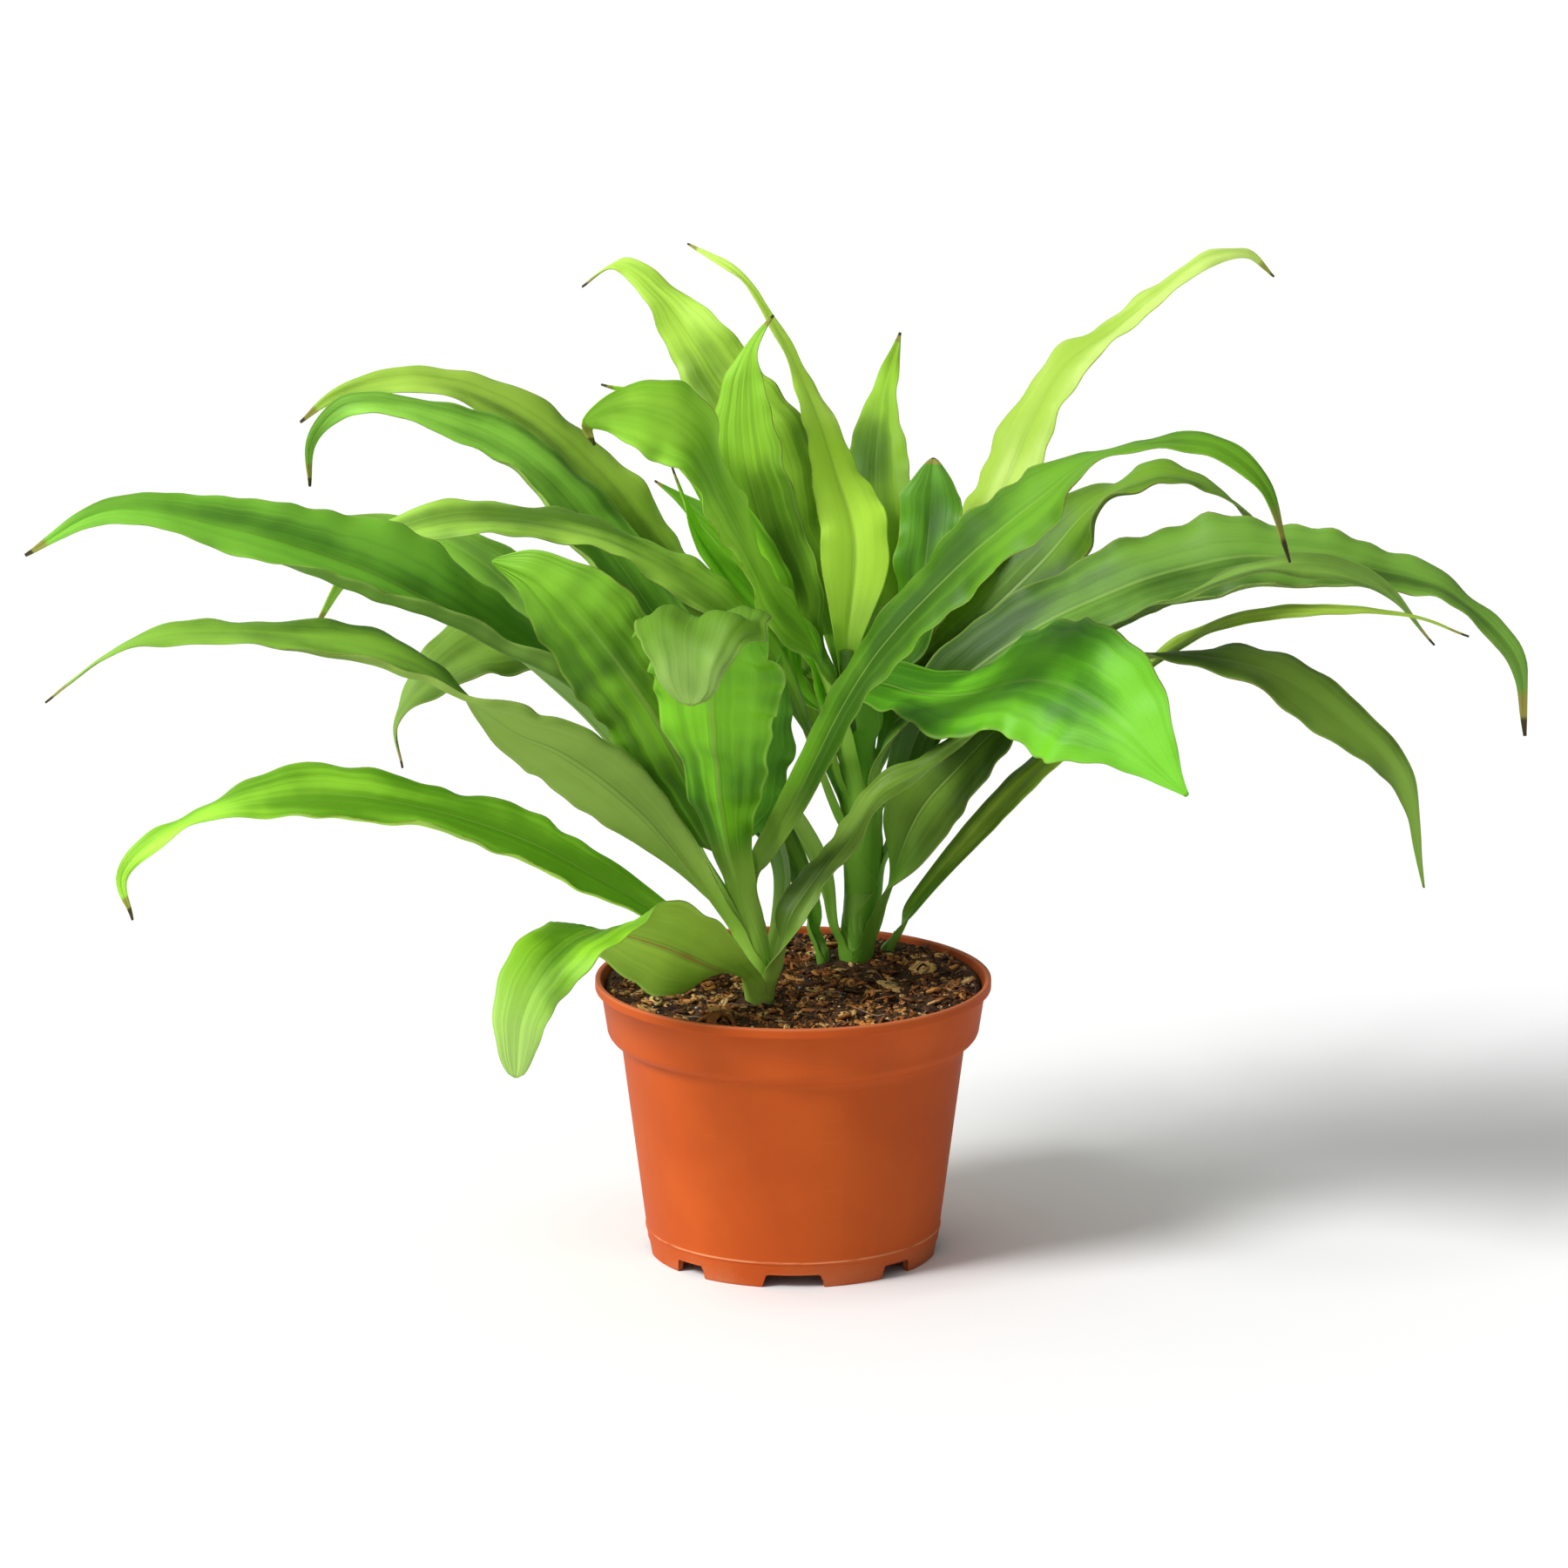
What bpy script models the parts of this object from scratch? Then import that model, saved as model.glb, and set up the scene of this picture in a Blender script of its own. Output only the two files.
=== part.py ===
"""A potted dracaena: a turned plastic nursery pot filled with soil, four leafy shoots and their arching leaves.

Metres, +Z up. The origin is on the floor under the middle of the plant, and -Y is its front.
"""

import math
from collections import namedtuple

import bmesh
import bpy
import numpy as np

# Pot
RIM_RADIUS = 0.0775
POT_HEIGHT = 0.110
BEAD_HEIGHT = 0.004
MOUTH_RADIUS = 0.0755
LIP_TOP_RADIUS = 0.0753
LIP_LOW_RADIUS = 0.0730
LIP_HEIGHT = 0.0190
LIP_ROUND = 0.0055
WALL_TOP_RADIUS = 0.0675
BASE_RADIUS = 0.0565
WALL = 0.0012
FOOT_WIDTH = 0.0022
FLOOR_HEIGHT = 0.0060
FLOOR_THICKNESS = 0.0016
RING_HEIGHT = 0.0100
RING_PROUD = 0.0004
POT_STEPS = 48

# Drain notches through the foot, one of each kind in turn every 45 degrees
NOTCH_TOP = 0.0053
WIDE_NOTCH = (0.0240, 0.0210)
NARROW_NOTCH = (0.0150, 0.0125)
NOTCH_COUNT = 8
NOTCH_DEPTH = 0.0140

# Soil
SOIL_GAP = 0.0003
SOIL_TOP = 0.1045
SOIL_RINGS = 9
SOIL_LUMP = 0.0008
HOLE_GAP = 0.0003
HOLE_ABOVE = 0.0100

# Leaves
BLADE = 0.0007
SEAT = 0.0004
CLASP = 0.014
NECK_OUT = 0.003
NECK_UP = 0.007
TIP_SHARE = 0.03
STATIONS = 18
ACROSS = 5
PATH_STEPS = 24

# Each shoot is a stem: the points (x, y, z, radius) that its centre line joins
SHOOTS = {
    "front": [
        (-0.013, -0.017, 0.080, 0.0054), (-0.013, -0.017, 0.112, 0.0054), (-0.016, -0.017, 0.130, 0.0060),
        (-0.020, -0.018, 0.150, 0.0054), (-0.022, -0.018, 0.168, 0.0022),
    ],
    "back": [
        (0.025, 0.039, 0.080, 0.0066), (0.025, 0.039, 0.112, 0.0066), (0.028, 0.038, 0.140, 0.0074),
        (0.027, 0.036, 0.170, 0.0076), (0.025, 0.035, 0.195, 0.0066), (0.021, 0.034, 0.232, 0.0024),
    ],
    "small": [
        (0.012, 0.035, 0.080, 0.0024), (0.012, 0.035, 0.112, 0.0024), (0.012, 0.035, 0.115, 0.0016),
        (0.012, 0.035, 0.117, 0.0008),
    ],
    "side": [
        (0.037, 0.051, 0.080, 0.0024), (0.037, 0.051, 0.110, 0.0024), (0.037, 0.051, 0.113, 0.0016),
        (0.037, 0.051, 0.115, 0.0008),
    ],
}

# Each leaf: its shoot, the height and compass angle of its root, the width where it clasps the stem, the full
# width, the fold of its two halves along the midrib, the height and number of the ripples of its edge, the
# shares of its length where the blade reaches full width and starts to narrow, and the points (x, y, z, roll)
# that its midrib passes through
Leaf = namedtuple("Leaf", "shoot height azimuth neck width fold ripple ripples opens narrows route")
LEAVES = {
    "leaf_front_01": Leaf(
        "front", 0.109, 235, 0.013, 0.038, 8, 0.0010, 4, 0.30, 0.58, [
            (-0.033, -0.046, 0.127, 60), (-0.05, -0.062, 0.139, 60), (-0.065, -0.074, 0.147, 35),
            (-0.074, -0.084, 0.151, 5), (-0.087, -0.098, 0.148, -10), (-0.097, -0.108, 0.139, -35),
            (-0.104, -0.117, 0.124, -38), (-0.105, -0.124, 0.104, -38),
        ]),
    "leaf_front_02": Leaf(
        "front", 0.112, 60, 0.008, 0.03, 12, 0.0015, 6, 0.40, 0.70, [
            (-0.005, -0.002, 0.133, -18), (-0.004, 0.006, 0.155, -33), (-0.017, 0.016, 0.179, -32),
            (-0.048, 0.026, 0.2, -12), (-0.075, 0.03, 0.22, -5), (-0.097, 0.032, 0.245, 0),
            (-0.125, 0.032, 0.272, 30), (-0.16, 0.03, 0.287, 70), (-0.181, 0.028, 0.288, 80),
        ]),
    "leaf_front_03": Leaf(
        "front", 0.112, 322, 0.012, 0.018, 10, 0.0006, 5, 0.35, 0.60, [
            (-0.0015, -0.027, 0.141, 80), (0.008, -0.022, 0.155, 62), (0.022, -0.018, 0.172, 57),
            (0.034, -0.014, 0.189, 60), (0.05, -0.011, 0.197, 56), (0.066, -0.012, 0.209, 60),
            (0.076, -0.014, 0.216, 60),
        ]),
    "leaf_front_04": Leaf(
        "front", 0.120, 185, 0.009, 0.026, 12, 0.0015, 6, 0.35, 0.66, [
            (-0.032, -0.02, 0.128, -37), (-0.066, -0.026, 0.151, -40), (-0.098, -0.034, 0.171, -42),
            (-0.138, -0.044, 0.188, -30), (-0.19, -0.058, 0.198, -48), (-0.231, -0.07, 0.19, -12),
            (-0.256, -0.076, 0.171, -50), (-0.252, -0.08, 0.154, -60),
        ]),
    "leaf_front_05": Leaf(
        "front", 0.130, 205, 0.014, 0.034, 8, 0.0015, 6, 0.35, 0.58, [
            (-0.059, -0.048, 0.188, 60), (-0.09, -0.062, 0.216, 45), (-0.106, -0.066, 0.224, 25),
            (-0.121, -0.07, 0.236, -2), (-0.145, -0.076, 0.254, -22), (-0.201, -0.092, 0.269, -22),
            (-0.248, -0.104, 0.268, -30), (-0.281, -0.112, 0.247, -30),
        ]),
    "leaf_front_06": Leaf(
        "front", 0.138, 184, 0.014, 0.042, 28, 0.0015, 6, 0.30, 0.60, [
            (-0.041, -0.011, 0.166, 8), (-0.064, -0.018, 0.201, 12), (-0.103, -0.03, 0.243, -12),
            (-0.159, -0.056, 0.284, -45), (-0.212, -0.08, 0.307, -62), (-0.258, -0.096, 0.317, -35),
            (-0.288, -0.105, 0.302, -20),
        ]),
    "leaf_front_07": Leaf(
        "front", 0.148, 258, 0.015, 0.054, 12, 0.0024, 6, 0.62, 0.84, [
            (-0.025, -0.038, 0.173, -5), (-0.028, -0.058, 0.198, -8), (-0.031, -0.078, 0.233, -8),
            (-0.032, -0.098, 0.264, -6), (-0.034, -0.115, 0.28, 4), (-0.037, -0.129, 0.279, 6),
            (-0.038, -0.138, 0.268, 4), (-0.038, -0.142, 0.253, 0),
        ]),
    "leaf_front_08": Leaf(
        "front", 0.152, 35, 0.011, 0.034, 8, 0.0015, 8, 0.62, 0.62, [
            (0.003, -0.036, 0.195, 14), (0.018, -0.045, 0.228, 1), (0.036, -0.052, 0.257, 2),
            (0.064, -0.06, 0.289, 5), (0.09, -0.068, 0.313, 5), (0.114, -0.074, 0.333, -21),
            (0.135, -0.078, 0.339, -8), (0.158, -0.082, 0.339, 46), (0.177, -0.086, 0.325, 110),
            (0.187, -0.09, 0.296, 122),
        ]),
    "leaf_front_09": Leaf(
        "front", 0.156, 205, 0.013, 0.04, 14, 0.0015, 4, 0.35, 0.78, [
            (-0.029, -0.031, 0.169, 45), (-0.04, -0.038, 0.198, 65), (-0.054, -0.05, 0.228, 70),
            (-0.073, -0.057, 0.257, 70), (-0.096, -0.055, 0.281, 60), (-0.115, -0.048, 0.287, 50),
        ]),
    "leaf_front_10": Leaf(
        "front", 0.160, 105, 0.006, 0.026, 14, 0.0012, 5, 0.35, 0.60, [
            (-0.017, -0.008, 0.182, 0), (-0.013, -0.005, 0.202, -5), (-0.008, -0.004, 0.222, 5),
            (-0.005, -0.005, 0.24, 10),
        ]),
    "leaf_back_01": Leaf(
        "back", 0.114, 312, 0.009, 0.03, 8, 0.0015, 7, 0.15, 0.68, [
            (0.049, 0.012, 0.1725, 100), (0.064, 0.004, 0.193, 80), (0.084, -0.01, 0.216, 52),
            (0.108, -0.022, 0.235, 30), (0.127, -0.026, 0.243, 4), (0.149, -0.03, 0.246, -8),
            (0.187, -0.036, 0.239, 12), (0.212, -0.04, 0.222, 30), (0.233, -0.043, 0.201, 45),
            (0.243, -0.046, 0.158, 50),
        ]),
    "leaf_back_02": Leaf(
        "back", 0.114, 200, 0.009, 0.034, 12, 0.0015, 6, 0.35, 0.60, [
            (0.011, 0.032, 0.144, 25), (0.001, 0.034, 0.163, 10), (-0.028, 0.04, 0.202, -40),
            (-0.067, 0.045, 0.263, -50), (-0.103, 0.048, 0.305, -44), (-0.14, 0.048, 0.324, -38),
            (-0.174, 0.048, 0.328, -25), (-0.188, 0.048, 0.314, -50), (-0.189, 0.046, 0.296, -60),
        ]),
    "leaf_back_03": Leaf(
        "back", 0.146, 6, 0.012, 0.042, 12, 0.0018, 9, 0.42, 0.55, [
            (0.0435, 0.03, 0.184, 80), (0.053, 0.028, 0.209, 80), (0.082, 0.025, 0.236, 43),
            (0.129, 0.023, 0.261, 34), (0.176, 0.022, 0.273, 39), (0.22, 0.02, 0.27, 38),
            (0.254, 0.02, 0.26, 26), (0.282, 0.02, 0.233, 30), (0.286, 0.02, 0.202, 40),
        ]),
    "leaf_back_04": Leaf(
        "back", 0.160, 205, 0.009, 0.025, 10, 0.0012, 6, 0.35, 0.70, [
            (-0.002, 0.018, 0.221, -44), (-0.029, 0.001, 0.26, -45), (-0.073, -0.008, 0.287, -25),
            (-0.11, -0.013, 0.296, -22), (-0.14, -0.016, 0.295, -36), (-0.165, -0.019, 0.284, -55),
            (-0.186, -0.022, 0.253, -60),
        ]),
    "leaf_back_05": Leaf(
        "back", 0.166, 300, 0.009, 0.02, 10, 0.0012, 6, 0.40, 0.66, [
            (0.033, 0.022, 0.19, 40), (0.042, 0.012, 0.208, 50), (0.064, 0, 0.228, 28),
            (0.098, -0.008, 0.24, 17), (0.145, -0.014, 0.263, 23), (0.191, -0.012, 0.278, 38),
            (0.225, -0.01, 0.27, 35), (0.248, -0.008, 0.245, 50),
        ]),
    "leaf_back_06": Leaf(
        "back", 0.170, 155, 0.012, 0.036, 12, 0.0015, 6, 0.35, 0.60, [
            (-0.006, 0.064, 0.22, -19), (-0.042, 0.074, 0.245, -17), (-0.079, 0.074, 0.293, -10),
            (-0.113, 0.07, 0.323, -13), (-0.15, 0.064, 0.335, -30), (-0.179, 0.058, 0.33, -50),
            (-0.193, 0.054, 0.32, -60),
        ]),
    "leaf_back_07": Leaf(
        "back", 0.176, 214, 0.005, 0.017, 20, 0.0008, 4, 0.40, 0.60, [
            (0.012, 0.0265, 0.2065, -40), (0.005, 0.033, 0.234, -60), (-0.014, 0.032, 0.249, -65),
            (-0.029, 0.028, 0.268, -70), (-0.039, 0.025, 0.285, -80), (-0.047, 0.022, 0.309, -90),
        ]),
    "leaf_back_08": Leaf(
        "back", 0.182, 20, 0.013, 0.034, 8, 0.0015, 6, 0.35, 0.62, [
            (0.044, 0.044, 0.212, 40), (0.084, 0.052, 0.2505, 39), (0.101, 0.054, 0.2675, 33),
            (0.114, 0.054, 0.2825, 11), (0.125, 0.052, 0.2925, -12), (0.143, 0.048, 0.301, 10),
            (0.162, 0.046, 0.297, 22), (0.177, 0.044, 0.285, 30), (0.189, 0.042, 0.269, 50),
        ]),
    "leaf_back_09": Leaf(
        "back", 0.186, 124, 0.008, 0.02, 12, 0.0010, 3, 0.40, 0.70, [
            (-0.004, 0.074, 0.244, 19), (-0.024, 0.09, 0.263, -15), (-0.041, 0.098, 0.277, -40),
            (-0.055, 0.104, 0.286, -50),
        ]),
    "leaf_back_10": Leaf(
        "back", 0.186, 240, 0.010, 0.034, 10, 0.0015, 5, 0.35, 0.80, [
            (0.018, 0.026, 0.206, -30), (0.007, 0.02, 0.237, -55), (-0.007, 0.012, 0.256, -65),
            (-0.029, 0, 0.304, -75), (-0.04, -0.006, 0.326, -85), (-0.055, -0.012, 0.336, -90),
            (-0.07, -0.016, 0.338, -85), (-0.079, -0.018, 0.334, -80), (-0.076, -0.022, 0.327, -60),
        ]),
    "leaf_back_11": Leaf(
        "back", 0.196, 320, 0.018, 0.058, 12, 0.0015, 5, 0.45, 0.72, [
            (0.031, 0.014, 0.224, 20), (0.05, -0.006, 0.225, 8), (0.07, -0.026, 0.23, 24),
            (0.092, -0.046, 0.24, 41), (0.109, -0.062, 0.239, 60), (0.127, -0.078, 0.229, 58),
            (0.149, -0.096, 0.207, 55),
        ]),
    "leaf_back_12": Leaf(
        "back", 0.198, 180, 0.006, 0.016, 12, 0.0010, 4, 0.40, 0.75, [
            (0.001, 0.042, 0.217, -60), (-0.008, 0.044, 0.2575, -65), (-0.027, 0.043, 0.29, -70),
            (-0.045, 0.043, 0.318, -75), (-0.06, 0.043, 0.333, -80), (-0.075, 0.044, 0.337, -80),
        ]),
    "leaf_back_13": Leaf(
        "back", 0.205, 15, 0.011, 0.026, 10, 0.0012, 7, 0.35, 0.62, [
            (0.05, 0.044, 0.234, 4), (0.06, 0.052, 0.251, 18), (0.072, 0.064, 0.27, 28),
            (0.083, 0.078, 0.288, 33), (0.096, 0.094, 0.315, 25), (0.109, 0.105, 0.333, 12),
            (0.129, 0.116, 0.346, 9), (0.148, 0.124, 0.36, 15), (0.166, 0.13, 0.371, 22),
            (0.181, 0.134, 0.372, 30), (0.192, 0.138, 0.362, 50),
        ]),
    "leaf_back_14": Leaf(
        "back", 0.208, 142, 0.010, 0.032, 8, 0.0010, 4, 0.45, 0.66, [
            (0.006, 0.052, 0.2275, -60), (-0.001, 0.055, 0.252, -70), (-0.011, 0.057, 0.276, -70),
            (-0.018, 0.058, 0.303, -75), (-0.02, 0.06, 0.326, -75), (-0.017, 0.062, 0.346, -75),
            (-0.008, 0.064, 0.361, -75),
        ]),
    "leaf_back_15": Leaf(
        "back", 0.210, 24, 0.010, 0.025, 12, 0.0010, 3, 0.40, 0.85, [
            (0.0465, 0.0425, 0.2336, 9), (0.052, 0.05, 0.264, 40), (0.054, 0.057, 0.286, 55),
            (0.055, 0.063, 0.304, 55),
        ]),
    "leaf_back_16": Leaf(
        "back", 0.215, 98, 0.013, 0.04, 12, 0.0015, 6, 0.42, 0.50, [
            (0.013, 0.071, 0.248, 23), (-0.001, 0.084, 0.27, 26), (-0.01, 0.096, 0.304, 24),
            (-0.026, 0.109, 0.322, -2), (-0.04, 0.119, 0.342, -22), (-0.053, 0.128, 0.357, 10),
            (-0.069, 0.136, 0.367, -30), (-0.084, 0.141, 0.357, -60),
        ]),
    "leaf_back_17": Leaf(
        "back", 0.222, 66, 0.012, 0.037, 12, 0.0010, 4, 0.40, 0.45, [
            (0.03, 0.072, 0.248, 29), (0.033, 0.085, 0.264, 10), (0.033, 0.103, 0.292, -5),
            (0.036, 0.124, 0.316, -12), (0.043, 0.144, 0.338, -20),
        ]),
    "leaf_back_18": Leaf(
        "back", 0.226, 95, 0.013, 0.028, 12, 0.0012, 5, 0.22, 0.32, [
            (0.024, 0.058, 0.272, 6), (0.016, 0.074, 0.297, 30), (0.006, 0.092, 0.323, 44),
            (-0.006, 0.11, 0.345, 50), (-0.021, 0.128, 0.364, 40), (-0.042, 0.145, 0.374, 10),
        ]),
    "leaf_small_01": Leaf(
        "small", 0.112, 150, 0.009, 0.034, 12, 0.0015, 6, 0.35, 0.75, [
            (0.007, 0.042, 0.125, -20), (-0.001, 0.048, 0.145, -12), (-0.024, 0.054, 0.177, -5),
            (-0.058, 0.058, 0.213, -10), (-0.092, 0.056, 0.233, -32), (-0.122, 0.046, 0.232, -60),
            (-0.142, 0.036, 0.221, -80), (-0.155, 0.028, 0.205, -88), (-0.153, 0.024, 0.188, -90),
        ]),
    "leaf_side_01": Leaf(
        "side", 0.109, 340, 0.006, 0.012, 8, 0.0006, 5, 0.30, 0.60, [
            (0.047, 0.046, 0.126, 70), (0.082, 0.036, 0.171, 70), (0.104, 0.026, 0.195, 47),
            (0.132, 0.01, 0.228, 18), (0.172, -0.006, 0.255, 30), (0.235, -0.02, 0.26, 50),
            (0.26, -0.024, 0.252, 60),
        ]),
}

# Base colour, roughness and metallic value
MATERIALS = {
    "terracotta_plastic": ((0.500, 0.125, 0.030), 0.48, 0.0),
    "potting_soil": ((0.035, 0.022, 0.014), 0.95, 0.0),
    "stem_green": ((0.110, 0.190, 0.035), 0.50, 0.0),
    "leaf_green": ((0.120, 0.330, 0.030), 0.34, 0.0),
    "leaf_dark": ((0.040, 0.140, 0.012), 0.32, 0.0),
    "leaf_lime": ((0.420, 0.720, 0.060), 0.36, 0.0),
}
DARK_LEAVES = ("leaf_back_03", "leaf_side_01", "leaf_back_08", "leaf_front_02")
LIME_LEAVES = ("leaf_back_13", "leaf_back_18")


def material(name):
    """The named Principled material, made on its first use."""
    found = bpy.data.materials.get(name)
    if found:
        return found
    colour, roughness, metallic = MATERIALS[name]
    made = bpy.data.materials.new(name)
    made.use_nodes = True
    shader = made.node_tree.nodes["Principled BSDF"]
    shader.inputs["Base Color"].default_value = (*colour, 1.0)
    shader.inputs["Roughness"].default_value = roughness
    shader.inputs["Metallic"].default_value = metallic
    return made


def clear_scene():
    for obj in list(bpy.data.objects):
        bpy.data.objects.remove(obj)


def collection(name):
    made = bpy.data.collections.new(name)
    bpy.context.scene.collection.children.link(made)
    return made


def place(name, data, group, parent, slot=None, location=(0, 0, 0)):
    """An object of this mesh or curve, in its collection and under the plant's empty."""
    obj = bpy.data.objects.new(name, data)
    group.objects.link(obj)
    obj.parent = parent
    obj.location = location
    if slot:
        data.materials.append(material(slot))
    return obj


def mesh_of(name, points, faces, smooth=True):
    made = bpy.data.meshes.new(name)
    made.from_pydata([tuple(p) for p in points], [], [tuple(f) for f in faces])
    if smooth:
        made.shade_smooth()
    made.update()
    return made


def turned(name, profile, steps, group, parent, slot):
    """A solid turned round Z from a profile of (radius, height) points that starts and ends on the axis."""
    points = [(r, 0.0, z) for r, z in profile]
    data = bpy.data.meshes.new(name)
    data.from_pydata(points, [(i, i + 1) for i in range(len(points) - 1)], [])
    obj = place(name, data, group, parent, slot)
    screw = obj.modifiers.new("turn", "SCREW")
    screw.axis = "Z"
    screw.steps = steps
    screw.render_steps = steps
    screw.use_merge_vertices = True
    screw.merge_threshold = 1e-5
    screw.use_smooth_shade = True
    return obj


def settle(obj):
    """The object with its modifiers made part of its mesh."""
    bpy.context.view_layer.update()
    graph = bpy.context.evaluated_depsgraph_get()
    data = bpy.data.meshes.new_from_object(obj.evaluated_get(graph))
    obj.modifiers.clear()
    obj.data = data
    data.name = obj.name
    return obj


def cut(obj, cutter):
    boolean = obj.modifiers.new("cut_" + cutter.name, "BOOLEAN")
    boolean.operation = "DIFFERENCE"
    boolean.object = cutter
    cutter.hide_render = True
    cutter.display_type = "WIRE"


def wall_radius(z):
    """Radius of the pot's outer wall at a height below the lip."""
    wall_top = POT_HEIGHT - LIP_HEIGHT - LIP_ROUND
    return BASE_RADIUS + (WALL_TOP_RADIUS - BASE_RADIUS) * z / wall_top


def pot_profiles():
    """The pot's inner face from the axis out to the mouth, and its outer face from the rim down to the axis."""
    lip_low = POT_HEIGHT - LIP_HEIGHT
    wall_top = lip_low - LIP_ROUND
    bead_low = POT_HEIGHT - BEAD_HEIGHT
    floor_top = FLOOR_HEIGHT + FLOOR_THICKNESS
    inner = [
        (0.0, floor_top),
        (wall_radius(floor_top) - WALL, floor_top),
        (WALL_TOP_RADIUS - WALL, wall_top),
        (LIP_LOW_RADIUS - WALL, lip_low),
        (LIP_TOP_RADIUS - WALL, bead_low),
        (MOUTH_RADIUS, POT_HEIGHT),
    ]
    bead = [
        (RIM_RADIUS - 0.0006, POT_HEIGHT),
        (RIM_RADIUS, POT_HEIGHT - 0.0008),
        (RIM_RADIUS, bead_low + 0.0006),
        (RIM_RADIUS - 0.0006, bead_low),
        (LIP_TOP_RADIUS, bead_low),
    ]
    drop = LIP_LOW_RADIUS - WALL_TOP_RADIUS
    lip = [
        (LIP_LOW_RADIUS - drop * (1 - math.cos(a)), lip_low - LIP_ROUND * math.sin(a))
        for a in np.radians([0, 30, 60, 90])
    ]
    ring = [
        (wall_radius(RING_HEIGHT + dz) + proud, RING_HEIGHT + dz)
        for dz, proud in ((0.0008, 0.0), (0.0004, RING_PROUD), (-0.0004, RING_PROUD), (-0.0008, 0.0))
    ]
    foot = [
        (BASE_RADIUS, 0.0),
        (BASE_RADIUS - FOOT_WIDTH, 0.0),
        (BASE_RADIUS - FOOT_WIDTH, FLOOR_HEIGHT),
        (0.0, FLOOR_HEIGHT),
    ]
    return inner, bead + lip + ring + foot


def notch_cutter(index, group, parent):
    """A wedge across the foot with its narrow side up, turned to its place round the pot."""
    low, top = WIDE_NOTCH if index % 2 == 0 else NARROW_NOTCH
    shape = bmesh.new()
    bmesh.ops.create_cube(shape, size=1.0)
    for vertex in shape.verts:
        width = low if vertex.co.z < 0 else top
        depth = NOTCH_TOP if vertex.co.z > 0 else -NOTCH_TOP
        vertex.co = (vertex.co.x * NOTCH_DEPTH, vertex.co.y * width, depth)
    data = bpy.data.meshes.new(f"notch_{index}")
    shape.to_mesh(data)
    shape.free()
    obj = place(f"notch_{index}", data, group, parent)
    angle = index * math.tau / NOTCH_COUNT
    obj.rotation_euler.z = angle
    obj.location = (BASE_RADIUS * math.cos(angle), BASE_RADIUS * math.sin(angle), 0.0)
    return obj


def make_pot(group, cutters, parent):
    inner, outer = pot_profiles()
    pot = turned("pot", inner + outer, POT_STEPS, group, parent, "terracotta_plastic")
    for index in range(NOTCH_COUNT):
        cut(pot, notch_cutter(index, cutters, parent))
    return pot


def soil_relief(x, y):
    """Height of the lumps: crossed waves of unlike lengths, faded out towards the wall."""
    waves = np.sin(x / 0.0047 + 0.6) + np.sin(y / 0.0053 + 2.1) + np.sin((x - y) / 0.0081)
    fade = np.clip((LIP_LOW_RADIUS - np.hypot(x, y)) / 0.010, 0.0, 1.0)
    return SOIL_LUMP * waves * fade


def make_soil(group, cutters, parent):
    """The soil fills the pot to just under its rim and has a plain hole for each stem."""
    inner, _ = pot_profiles()
    floor_top = inner[0][1]
    sides = [(r - SOIL_GAP, z) for r, z in inner[1:4]]
    share = (SOIL_TOP - inner[3][1]) / (inner[4][1] - inner[3][1])
    edge = inner[3][0] + share * (inner[4][0] - inner[3][0]) - SOIL_GAP
    top = [(edge * (1 - k / SOIL_RINGS), SOIL_TOP) for k in range(SOIL_RINGS + 1)]
    under = [(r, z + SOIL_GAP if z == floor_top else z) for r, z in reversed(sides)]
    profile = top[::-1] + under + [(0.0, floor_top + SOIL_GAP)]
    soil = settle(turned("soil", profile, POT_STEPS, group, parent, "potting_soil"))
    points = np.empty(len(soil.data.vertices) * 3)
    soil.data.vertices.foreach_get("co", points)
    points = points.reshape(-1, 3)
    on_top = points[:, 2] > SOIL_TOP - 1e-5
    points[on_top, 2] += soil_relief(points[on_top, 0], points[on_top, 1])
    soil.data.vertices.foreach_set("co", points.ravel())
    for name in SHOOTS:
        cut(soil, stem_hole(name, cutters, parent))
    return soil


def stem_hole(name, group, parent):
    x, y, low, radius = SHOOTS[name][0]
    floor = low - HOLE_GAP
    top = SOIL_TOP + HOLE_ABOVE
    shape = bmesh.new()
    bmesh.ops.create_cone(
        shape, segments=24, cap_ends=True, depth=top - floor,
        radius1=radius + HOLE_GAP, radius2=radius + HOLE_GAP,
    )
    data = bpy.data.meshes.new("hole_" + name)
    shape.to_mesh(data)
    shape.free()
    return place("hole_" + name, data, group, parent, location=(x, y, (top + floor) / 2))


def make_stem(name, line, group, parent):
    """A round tube along the shoot's centre line, thicker where its leaves crowd."""
    data = bpy.data.curves.new("stem_" + name, "CURVE")
    data.dimensions = "3D"
    data.bevel_depth = line[0][3]
    data.bevel_resolution = 4
    data.use_fill_caps = True
    spline = data.splines.new("POLY")
    spline.points.add(len(line) - 1)
    for point, (x, y, z, radius) in zip(spline.points, line):
        point.co = (x, y, z, 1.0)
        point.radius = radius / line[0][3]
    return place("stem_" + name, data, group, parent, "stem_green")


def unit(vectors):
    return vectors / np.linalg.norm(vectors, axis=-1, keepdims=True)


def ease(x):
    """A smooth step from 0 to 1."""
    x = np.clip(x, 0.0, 1.0)
    return x * x * (3.0 - 2.0 * x)


def between(t, start, end, first, last):
    return ((end - t) * first + (t - start) * last) / (end - start)


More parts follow.
